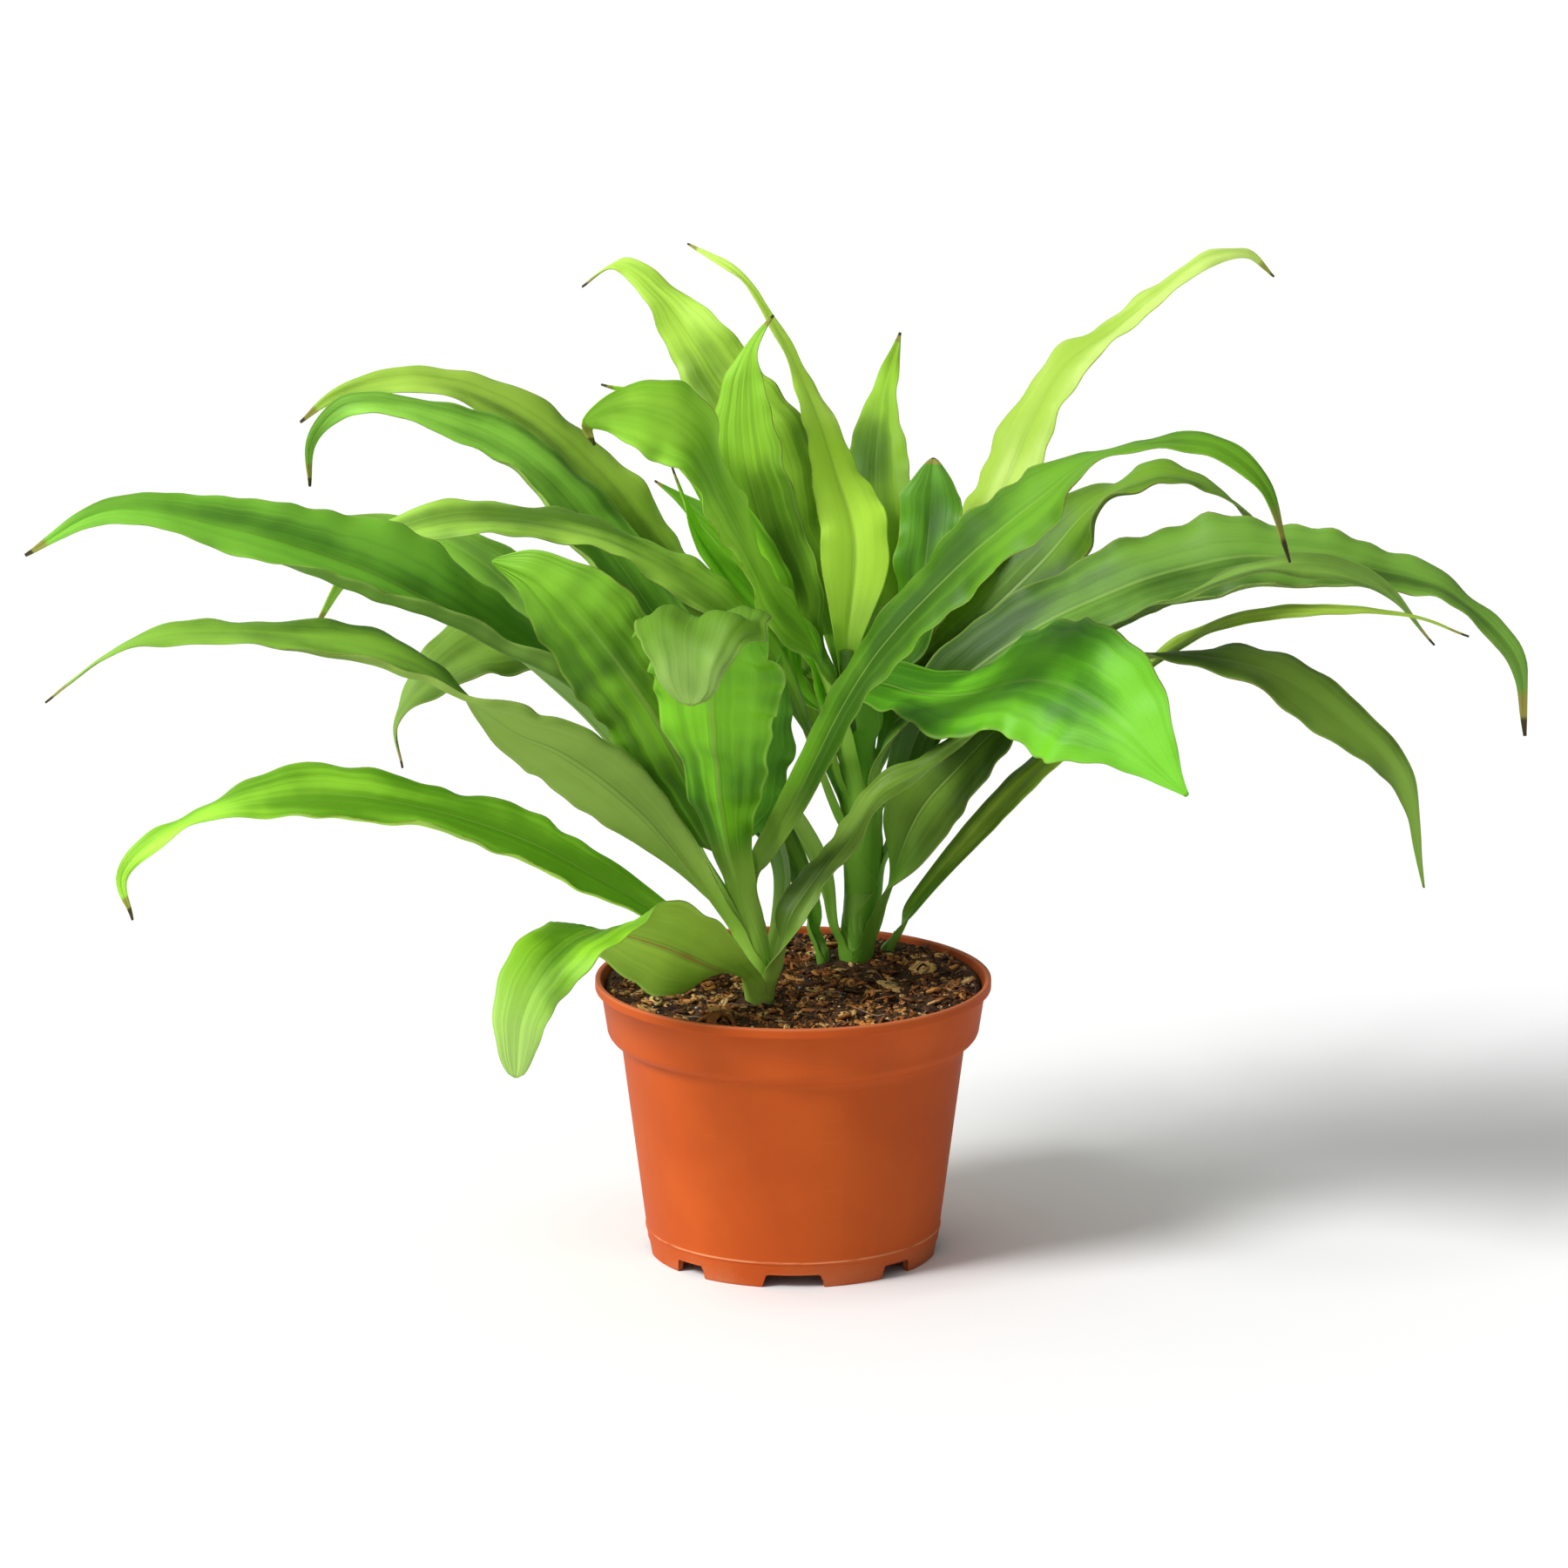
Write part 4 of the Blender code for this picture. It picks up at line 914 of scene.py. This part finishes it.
def leaf_surface(leaf, look, v, seed):
    """The leaf's middle surface as a grid of points, the distances across it and each row's share of blade.

    The midrib is a smooth curve. Across it runs a line whose slope at each point is an angle. Along the
    sheath and the neck that angle is the distance over the stem's radius, which wraps the line round. On the
    blade it is the fold, more beyond the place where a margin curls, and less as the halves droop. The line
    is the running sum of the angle's cosine and sine, turned about the midrib by the roll. The ripples, the
    frill, the groove, the ribs and the crumpling are added to its height.
    """
    route, drop, clasped = leaf_route(leaf)
    blade, s, path, side, face = leaf_frame(leaf, look, route, drop, seed)
    u = np.clip(s / blade, 0.0, 1.0)[:, None]
    spread = width_share(u, leaf, look)
    open_part = ease((u - 0.12) / 0.2)
    half = np.where(v > 0, 1.0, -1.0)
    slow = np.sin(math.tau * (2.3 * u + 0.17 * half) * 1.7 + 1.37 * seed)
    nicks = np.sin(blade * NICKS_PER_METRE * u + 1.7 * half + 2.0 * np.sin(7.0 * u + seed))
    uneven = 1 + open_part * (0.050 * slow + 0.024 * nicks)
    curled = np.where(v * look.curl > 0, abs(look.curl), 0.0)
    reach = spread * leaf.width / 2 * uneven * (1 + 0.35 * curled * open_part)
    below = ease(-s / drop)[:, None]
    stem, _ = stem_at(leaf.shoot, path[:, 2])
    from_stem = np.hypot(path[:, 0] - stem[:, 0], path[:, 1] - stem[:, 1])
    clasped = np.where(s < 0, from_stem, clasped)[:, None]
    arc = (reach * (1 - below) + 0.92 * math.pi * clasped * below) * v

    mid_arc = (arc[:, 1:] + arc[:, :-1]) / 2
    mid_v = (v[1:] + v[:-1]) / 2
    wrap = 1 - ease(s / CLASP)[:, None]
    window = ease((u - 0.10) / 0.10) * ease((0.80 - u) / 0.15)
    mid_curled = np.where(mid_v * look.curl > 0, abs(look.curl), 0.0)
    curl = MARGIN_CURL * window * ease((np.abs(mid_v) - 1 + mid_curled) / 0.16) * (mid_curled > 0)
    droop = math.radians(look.arch) * ease((u - look.bent) / 0.18) * ease((np.abs(mid_v) - 0.30) / 0.60)
    angle = (1 - wrap) * (math.radians(leaf.fold) + curl - droop) + wrap * np.abs(mid_arc) / clasped
    step = np.diff(arc, axis=1)
    out = running_sum(np.cos(angle) * step, len(v) // 2)
    up = running_sum(np.sin(angle) * step * np.sign(mid_v), len(v) // 2)

    phase = 0.7 * (1000 * leaf.height + leaf.azimuth) + np.where(v > 0, 1.9, 0.0)
    edge = v ** 2 * spread * open_part
    up = up + leaf.ripple * edge * np.sin(math.tau * leaf.ripples * u + phase)
    frill = np.sin(math.tau * leaf.ripples * 2.3 * u + 2.1 * phase + 2.0 * np.sin(9.0 * u + seed))
    up = up + leaf.ripple * 0.6 * edge * v ** 2 * frill
    up = up - GROOVE * np.exp(-((arc / GROOVE_WIDTH) ** 2)) * (1 - u) * (1 - wrap)
    ribs = np.cos(v * leaf.width * RIBS_PER_METRE) * (1 - v ** 4)
    up = up + RIB_HEIGHT * look.ribs * ribs * open_part * spread
    grid = path[:, None] + out[..., None] * side[:, None]
    crumple = look.crumple / 1000 * open_part * (0.25 + 0.75 * ease((u - 0.45) / 0.30))
    up = up + crumple * waves(grid, CRUMPLE_SIZES, seed)
    up = up + SWELL * open_part * waves(grid, SWELL_SIZES, seed + 50)
    return grid + up[..., None] * face[:, None], arc, s / blade


def normals_of(grid):
    """The unit normals of a grid of points: the cross product of its slopes along and across."""
    return unit(np.cross(np.gradient(grid, axis=0), np.gradient(grid, axis=1)))


def make_leaf(name, leaf, look, seed):
    """A closed thin blade: the middle surface moved out by half the thickness to each side and joined round.

    It is thickest along the midrib, which stands out below as a keel, and thins to the margins. Its rows
    are evenly spaced, and its columns crowd towards the margins as a sine does.
    """
    t = np.linspace(-1.0, 1.0, ACROSS)
    v = 0.5 * t + 0.5 * np.sin(t * math.pi / 2)
    grid, arc, share = leaf_surface(leaf, look, v, seed)
    normal = normals_of(grid)
    thick = HALF_THICKNESS * (1 - 0.45 * np.abs(v) ** 3)[None, :, None]
    fading = np.clip(1 - 0.8 * share, 0.0, 1.0) * ease(share / 0.05 + 0.5)
    keel = (KEEL * np.exp(-((arc / KEEL_WIDTH) ** 2)) * fading[:, None])[..., None]
    points = np.stack([grid + normal * thick, grid - normal * (thick + keel)]).reshape(-1, 3)
    rows = len(grid)
    count = rows * ACROSS
    index = np.arange(count).reshape(rows, ACROSS)
    rim = np.concatenate([index[:, 0], index[-1, 1:], index[-2::-1, -1], index[0, -2:0:-1]])
    following = np.roll(rim, -1)
    strip = np.stack([following, rim, rim + count, following + count], axis=1)
    quads = grid_quads(rows, ACROSS)
    uv = np.stack(np.broadcast_arrays((v + 1) / 2, share[:, None]), axis=-1).reshape(-1, 2)
    under = np.repeat([float(look.over), 1.0 - look.over], count)
    skin = leaf_finish(name + "_skin", leaf, look, seed)
    faces = [quads, quads[:, ::-1] + count, strip]
    piece = mesh_piece(name + "_blade", points, faces, skin, np.tile(uv, (2, 1)), {"under": under})
    fit(piece, FINISHES[look.finish][0], name)


def make_stem(name, material, seed):
    """A stem wrapped in sheaths: a tube along its centre line whose radius steps up in a rising spiral.

    The radius is the line's own, plus a saw-tooth of the angle and height together, and fine flutes. Its
    top leans into the neck of its last leaf, and it is closed by a fan at each end.
    """
    z = np.linspace(STEMS[name][0, 2], STEMS[name][-1, 2], STEM_ROWS)[:, None]
    centre, radius = stem_at(name, z[:, 0])
    x, y, radius = [smoothed(part, 9)[:, None] for part in (centre[:, 0], centre[:, 1], radius)]
    last = max((leaf for leaf in STRAPS.values() if leaf.shoot == name), key=lambda leaf: leaf.height)
    lean = LEAN * ease((z - last.height + 0.002) / 0.007)
    x = x + lean * math.cos(math.radians(last.azimuth))
    y = y + lean * math.sin(math.radians(last.azimuth))
    turn = np.linspace(0.0, math.tau, STEM_TURNS, endpoint=False)[None, :]
    lap = (turn / math.tau + z / LAP_RISE + 0.16 * np.sin(turn + seed + z * 60)) % 1.0
    reach = radius + LAP_STEP * (lap - 0.55) + FLUTE * np.sin(17 * turn + 3 * np.sin(z * 160))
    grid = np.stack(np.broadcast_arrays(x + reach * np.cos(turn), y + reach * np.sin(turn), z), axis=-1)
    ends = np.hstack([x, y, z])[[0, -1]]
    points, faces = closed_round(grid, ends)
    height = (z - z[0]) / (z[-1] - z[0])
    uv = np.stack(np.broadcast_arrays(np.abs(2 * turn / math.tau - 1), height), axis=-1).reshape(-1, 2)
    uv = np.concatenate([uv, [(0.5, 0.0), (0.5, 1.0)]])
    marks = {"lap": np.append(lap, [0.5, 0.5])}
    faces = [block[:, ::-1] for block in faces]
    piece = mesh_piece("stem_" + name + "_sheaths", points, faces, material, uv, marks)
    fit(piece, "stem_green", "stem_" + name)


def wall_radius(z):
    """Radius of the pot's outer wall at a height below the lip."""
    return BASE_RADIUS + (WALL_TOP_RADIUS - BASE_RADIUS) * z / WALL_TOP


def rounded(corners, radius, steps):
    """A line through these corners, each but the first and last eased by an arc of this reach."""
    corners = np.array(corners)
    pieces = [corners[:1]]
    t = np.linspace(0.0, 1.0, steps)[:, None]
    for before, corner, after in zip(corners, corners[1:], corners[2:]):
        back, on = before - corner, after - corner
        reach = min(radius, 0.45 * np.linalg.norm(back), 0.45 * np.linalg.norm(on))
        start, end = corner + unit(back) * reach, corner + unit(on) * reach
        pieces.append((1 - t) ** 2 * start + 2 * t * (1 - t) * corner + t ** 2 * end)
    return np.vstack([*pieces, corners[-1:]])


def notch_rise(turn, radius):
    """How far the foot is cut away at this angle and radius: a notch with sloping sides each eighth turn."""
    step = math.tau / NOTCH_COUNT
    number = np.round(turn / step)
    beside = np.abs(radius * np.sin(turn - number * step))
    rise = np.zeros_like(beside)
    for kind, (low, top) in enumerate(NOTCHES):
        cut = np.clip((low / 2 - beside) / ((low - top) / 2), 0.0, 1.0) * NOTCH_TOP
        rise = np.where(number % 2 == kind, cut, rise)
    return rise


def on_wall(heights, proud=0.0):
    """The outer wall's points (radius, z) at these heights, standing out from it by as much as given."""
    return np.stack([wall_radius(heights) + proud, heights], axis=1)


def make_pot(material):
    """The pot as one closed surface: a rounded profile turned round Z, its foot raised at each notch.

    The profile runs up the inner wall, over the beaded rim and down the outer wall, the moulded ring and
    the foot to the underside. The angles crowd where a notch begins or ends.
    """
    floor_top = FLOOR_HEIGHT + FLOOR_THICKNESS
    inner = [
        (HUB, floor_top), (wall_radius(floor_top) - WALL, floor_top), (WALL_TOP_RADIUS - WALL, WALL_TOP),
        (LIP_LOW_RADIUS - WALL, LIP_LOW), (LIP_TOP_RADIUS - WALL, BEAD_LOW), (MOUTH_RADIUS, POT_HEIGHT),
        (RIM_RADIUS, POT_HEIGHT), (RIM_RADIUS, BEAD_LOW), (LIP_TOP_RADIUS, BEAD_LOW),
    ]
    arc = np.radians(np.arange(0, 91, 15))
    drop = LIP_LOW_RADIUS - WALL_TOP_RADIUS
    lip = np.stack([LIP_LOW_RADIUS - drop * (1 - np.cos(arc)), LIP_LOW - LIP_ROUND * np.sin(arc)], axis=1)
    ring = np.linspace(RING_HALF, -RING_HALF, 9)
    foot_inner = BASE_RADIUS - FOOT_WIDTH
    upper = np.vstack([
        rounded(inner, CORNER_ROUND, 6), lip,
        on_wall(np.linspace(WALL_TOP - 0.004, RING_HEIGHT + 0.004, 16)),
        on_wall(RING_HEIGHT + ring, RING_PROUD * np.cos(ring / RING_HALF * math.pi / 2) ** 2),
        on_wall(np.linspace(RING_HEIGHT - 0.0015, NOTCH_TOP + 0.0008, 4)),
    ])
    foot_out = on_wall(np.linspace(NOTCH_TOP, FOOT_BEVEL, 8))
    foot = np.vstack([
        foot_out, [(BASE_RADIUS - FOOT_BEVEL, 0.0), (foot_inner + FOOT_BEVEL, 0.0)],
        [(foot_inner, z) for z in np.linspace(FOOT_BEVEL, NOTCH_TOP, 8)],
    ])
    profile = np.vstack([upper, foot, [(foot_inner, FLOOR_HEIGHT), (HUB, FLOOR_HEIGHT)]])
    step = math.tau / NOTCH_COUNT
    edges = [
        k * step + sign * math.asin(width / 2 / (BASE_RADIUS - FOOT_WIDTH / 2)) + nudge
        for k in range(NOTCH_COUNT) for sign in (-1, 1)
        for width in NOTCHES[k % 2] for nudge in (-0.002, 0.002)
    ]
    turn = np.linspace(0.0, math.tau, POT_TURNS, endpoint=False)
    turn = np.unique(np.concatenate([turn, np.array(edges) % math.tau]))
    row = np.arange(len(profile))[:, None] - len(upper)
    r, z = profile[:, :1], profile[:, 1:]
    z = np.where((row >= 0) & (row < len(foot)), np.maximum(z, notch_rise(turn, r)), z)
    r = np.where((row >= 0) & (row <= len(foot_out)) & (z > FOOT_BEVEL), wall_radius(z), r)
    grid = np.concatenate([polar(r, turn), z[..., None]], axis=-1)
    points, faces = closed_round(grid, grid[[0, -1]].mean(axis=1))
    fit(mesh_piece("pot_moulded", points, faces, material), "terracotta_plastic", "pot")


def soil_height(points):
    """The soil's surface over points (x, y): waves of three sizes, banked up against the wall at the back."""
    away = np.linalg.norm(points, axis=-1) / (MOUTH_RADIUS - WALL - 0.0008)
    relief = 0.0026 * waves(points, (0.034, 0.021), 5) + 0.0016 * waves(points, (0.009, 0.006), 6)
    crumbs = 0.0007 * waves(points, (0.0028, 0.0019), 7)
    banked = 0.0040 * ease(away) * ease((points[..., 1] + 0.030) / 0.060)
    at_wall = ease((away - 0.90) / 0.10)
    return SOIL_TOP + relief * (1 - at_wall) + crumbs + banked - 0.0006 * at_wall


def make_soil(material):
    """The soil as one closed body: its uneven top over rings and spokes, a short wall and a flat bottom."""
    reach = LIP_TOP_RADIUS - WALL - SOIL_GAP
    radius = np.concatenate([np.linspace(0.0006, reach, SOIL_RINGS), [reach - 0.0004, reach - 0.0010]])
    plan = polar(radius[:, None], np.linspace(0.0, math.tau, SOIL_SPOKES, endpoint=False))
    height = soil_height(plan)
    bottom = SOIL_TOP - SOIL_DEPTH
    height[-2] = SOIL_TOP - SOIL_DEPTH / 2
    height[-1] = bottom
    grid = np.concatenate([plan, height[..., None]], axis=-1)
    points, faces = closed_round(grid, [(0.0, 0.0, height[0].mean()), (0.0, 0.0, bottom)])
    fit(mesh_piece("soil_surface", points, faces, material), "potting_soil", "soil")


def scattered(count, seed, spare):
    """Places on the soil, even by area, away from the stems by this much and from the wall."""
    chance = np.random.default_rng(seed)
    radius = (LIP_TOP_RADIUS - WALL - spare - LOOSE_GAP) * np.sqrt(chance.uniform(0.0, 1.0, count * 2))
    plan = polar(radius, chance.uniform(0.0, math.tau, count * 2))
    feet = np.array([line[1] for line in STEMS.values()])
    clear = (np.linalg.norm(plan[:, None] - feet[:, :2], axis=2) > feet[:, 3] + spare).all(axis=1)
    return plan[clear][:count], chance


def make_bits(name, count, seed, sizes, rings, spokes, sunk, material):
    """Many loose bits as one mesh: each a ball's grid, squared, dented, stretched, tilted and laid down.

    The corners come from raising the ball's coordinates to a power under one, and each bit's tint is one
    number for all its points.
    """
    plan, chance = scattered(count, seed, sizes[1][0] * 0.5)
    count = len(plan)
    low, high = np.array(sizes)
    size = low + (high - low) * chance.uniform(0.0, 1.0, (count, 1)) ** 1.8
    size = size * chance.uniform(0.75, 1.25, (count, 3))
    theta = np.linspace(0.0, math.pi, rings)[1:-1, None]
    level = polar(np.sin(theta), np.linspace(0.0, math.tau, spokes, endpoint=False))
    grid = np.dstack([level, np.broadcast_to(np.cos(theta), level.shape[:2])])
    ball, (around, *fans) = closed_round(grid, [(0, 0, 1), (0, 0, -1)])
    ball = np.sign(ball) * np.abs(ball) ** BIT_SQUARENESS
    dents = chance.uniform(0.70, 1.15, (count, len(ball), 1))
    bits = ball * dents * size[:, None] / 2
    yaw = chance.uniform(0, math.tau, count)
    pitch = chance.normal(0, BIT_TILT, count)
    roll = chance.normal(0, BIT_TILT, count)
    for axis, angles in enumerate((roll, pitch, yaw)):
        bits = turned_by(bits, angles, axis)
    base = np.column_stack([plan, soil_height(plan) + size[:, 2] * (0.5 - sunk)])
    points = (bits + base[:, None]).reshape(-1, 3)
    marks = {"tint": np.repeat(chance.uniform(0.0, 1.0, count), len(ball))}
    # The fans are wound against the rest of the bit, and the bits' tones were set with them so
    faces = repeated([around, *(fan[:, ::-1] for fan in fans)], count, len(ball))
    fit(mesh_piece(name, points, faces, material, marks=marks), "potting_soil")


def turned_by(points, angles, axis):
    """Each set of points turned about this axis by its own angle."""
    made = points.copy()
    first, second = (axis + 1) % 3, (axis + 2) % 3
    cos, sin = np.cos(angles)[:, None], np.sin(angles)[:, None]
    made[..., first] = points[..., first] * cos - points[..., second] * sin
    made[..., second] = points[..., first] * sin + points[..., second] * cos
    return made


def make_fibres(count, seed, material):
    """Fine roots and bark threads: each a thin five-sided tube along a gently bent line over the soil."""
    plan, chance = scattered(count, seed, 0.004)
    count = len(plan)
    stations, sides = 10, 5
    t = np.linspace(-0.5, 0.5, stations)
    length = chance.uniform(0.006, 0.020, (count, 1))
    heading = chance.uniform(0, math.tau, (count, 1))
    angle = heading + chance.normal(0, 1.4, (count, 1)) * t
    line = plan[:, None] + np.cumsum(polar(length / (stations - 1), angle), axis=1)
    far = np.linalg.norm(line, axis=-1, keepdims=True) / (LIP_TOP_RADIUS - WALL - FIBRE_GAP)
    line = line / np.maximum(far, 1.0)
    lift = chance.uniform(0.0001, 0.0011, (count, 1)) + 0.0012 * np.abs(np.sin(angle * 2.0))
    line = np.concatenate([line, (soil_height(line) + lift)[..., None]], axis=-1)
    thick = chance.uniform(0.00012, 0.00032, (count, 1)) * np.sqrt(1.02 - (2 * t) ** 2)
    phi = np.linspace(0.0, math.tau, sides, endpoint=False)[:, None]
    level = np.stack([-np.sin(angle), np.cos(angle), np.zeros_like(angle)], axis=-1)
    ring = np.cos(phi) * level[:, :, None] + np.sin(phi) * np.array([0.0, 0.0, 1.0])
    points = (line[:, :, None] + ring * thick[:, :, None, None]).reshape(-1, 3)
    each = stations * sides
    first = np.arange(sides)
    closing = np.stack([np.roll(first[::-1], 1), each - sides + first])
    faces = repeated([grid_quads(stations, sides, wraps=True)[:, ::-1], closing], count, each)
    marks = {"tint": np.repeat(chance.uniform(0.0, 1.0, count), each)}
    fit(mesh_piece("soil_fibres", points, faces, material, marks=marks), "potting_soil")


def placed(name, data, place, direction):
    """A light or camera at this place, looking in this direction."""
    obj = bpy.data.objects.new(name, data)
    bpy.context.scene.collection.objects.link(obj)
    obj.location = place
    obj.rotation_euler = Vector(direction).to_track_quat("-Z", "Y").to_euler()
    return obj


def make_stage():
    """A pale floor, a sky that is brighter on the left, a broad key from the upper left, and the camera."""
    data = bpy.data.meshes.new("studio_floor")
    corners = [(x * FLOOR_REACH, y * FLOOR_REACH, 0) for x, y in ((-1, -1), (1, -1), (1, 1), (-1, 1))]
    data.from_pydata(corners, [], [(0, 1, 2, 3)])
    floor = bpy.data.objects.new("studio_floor", data)
    bpy.context.scene.collection.objects.link(floor)
    paper = bpy.data.materials.new("pale_paper")
    Finish(paper, Base_Color=(0.93, 0.93, 0.93), Roughness=0.9, Specular_IOR_Level=0.2)
    data.materials.append(paper)

    sky = Finish(bpy.data.worlds.new("studio_sky"))
    aside = sky.parts(sky.node("ShaderNodeTexCoord", out="Generated"))[0]
    tones = sky.node("ShaderNodeValToRGB", {"stops": SKY_STOPS}, {0: aside * 0.5 + 0.5})
    sky.feed(sky.nodes["Background"].inputs["Color"], tones)
    bpy.context.scene.world = sky.owner

    key = bpy.data.lights.new("soft_key", "SUN")
    key.energy = KEY_STRENGTH
    key.angle = KEY_WIDTH
    placed("soft_key", key, KEY_FROM * 3, -KEY_FROM)

    camera = bpy.data.cameras.new("photo_camera")
    camera.lens = LENS
    camera.sensor_width = 36.0
    camera.clip_end = 60.0
    back = np.array([0.0, -math.cos(CAMERA_ELEVATION), math.sin(CAMERA_ELEVATION)])
    bpy.context.scene.camera = placed("photo_camera", camera, AIM + back * CAMERA_DISTANCE, -back)
    bpy.context.scene.view_settings.view_transform = "Standard"


def main():
    make_pot(pot_finish())
    make_soil(soil_finish())
    bark = chip_finish("bark_chips", BARK_TONES)
    make_bits("soil_bark", 780, 11, BARK_SIZES, 7, 10, 0.25, bark)
    chips = chip_finish("orange_chips", CHIP_TONES)
    make_bits("soil_chips", 34, 15, CHIP_SIZES, 9, 12, 0.30, chips)
    make_bits("soil_granules", 1700, 12, GRANULE_SIZES, 5, 6, 0.30, bark)
    perlite = chip_finish("white_perlite", PERLITE_TONES)
    make_bits("soil_perlite", 80, 13, PERLITE_SIZES, 7, 9, 0.25, perlite)
    make_fibres(90, 14, chip_finish("root_fibres", FIBRE_TONES))
    sheaths = stem_finish()
    for seed, name in enumerate(STEMS):
        make_stem(name, sheaths, seed)
    for seed, (name, leaf) in enumerate(STRAPS.items()):
        make_leaf(name, leaf, LOOKS[name], seed + 20)
    make_stage()


main()
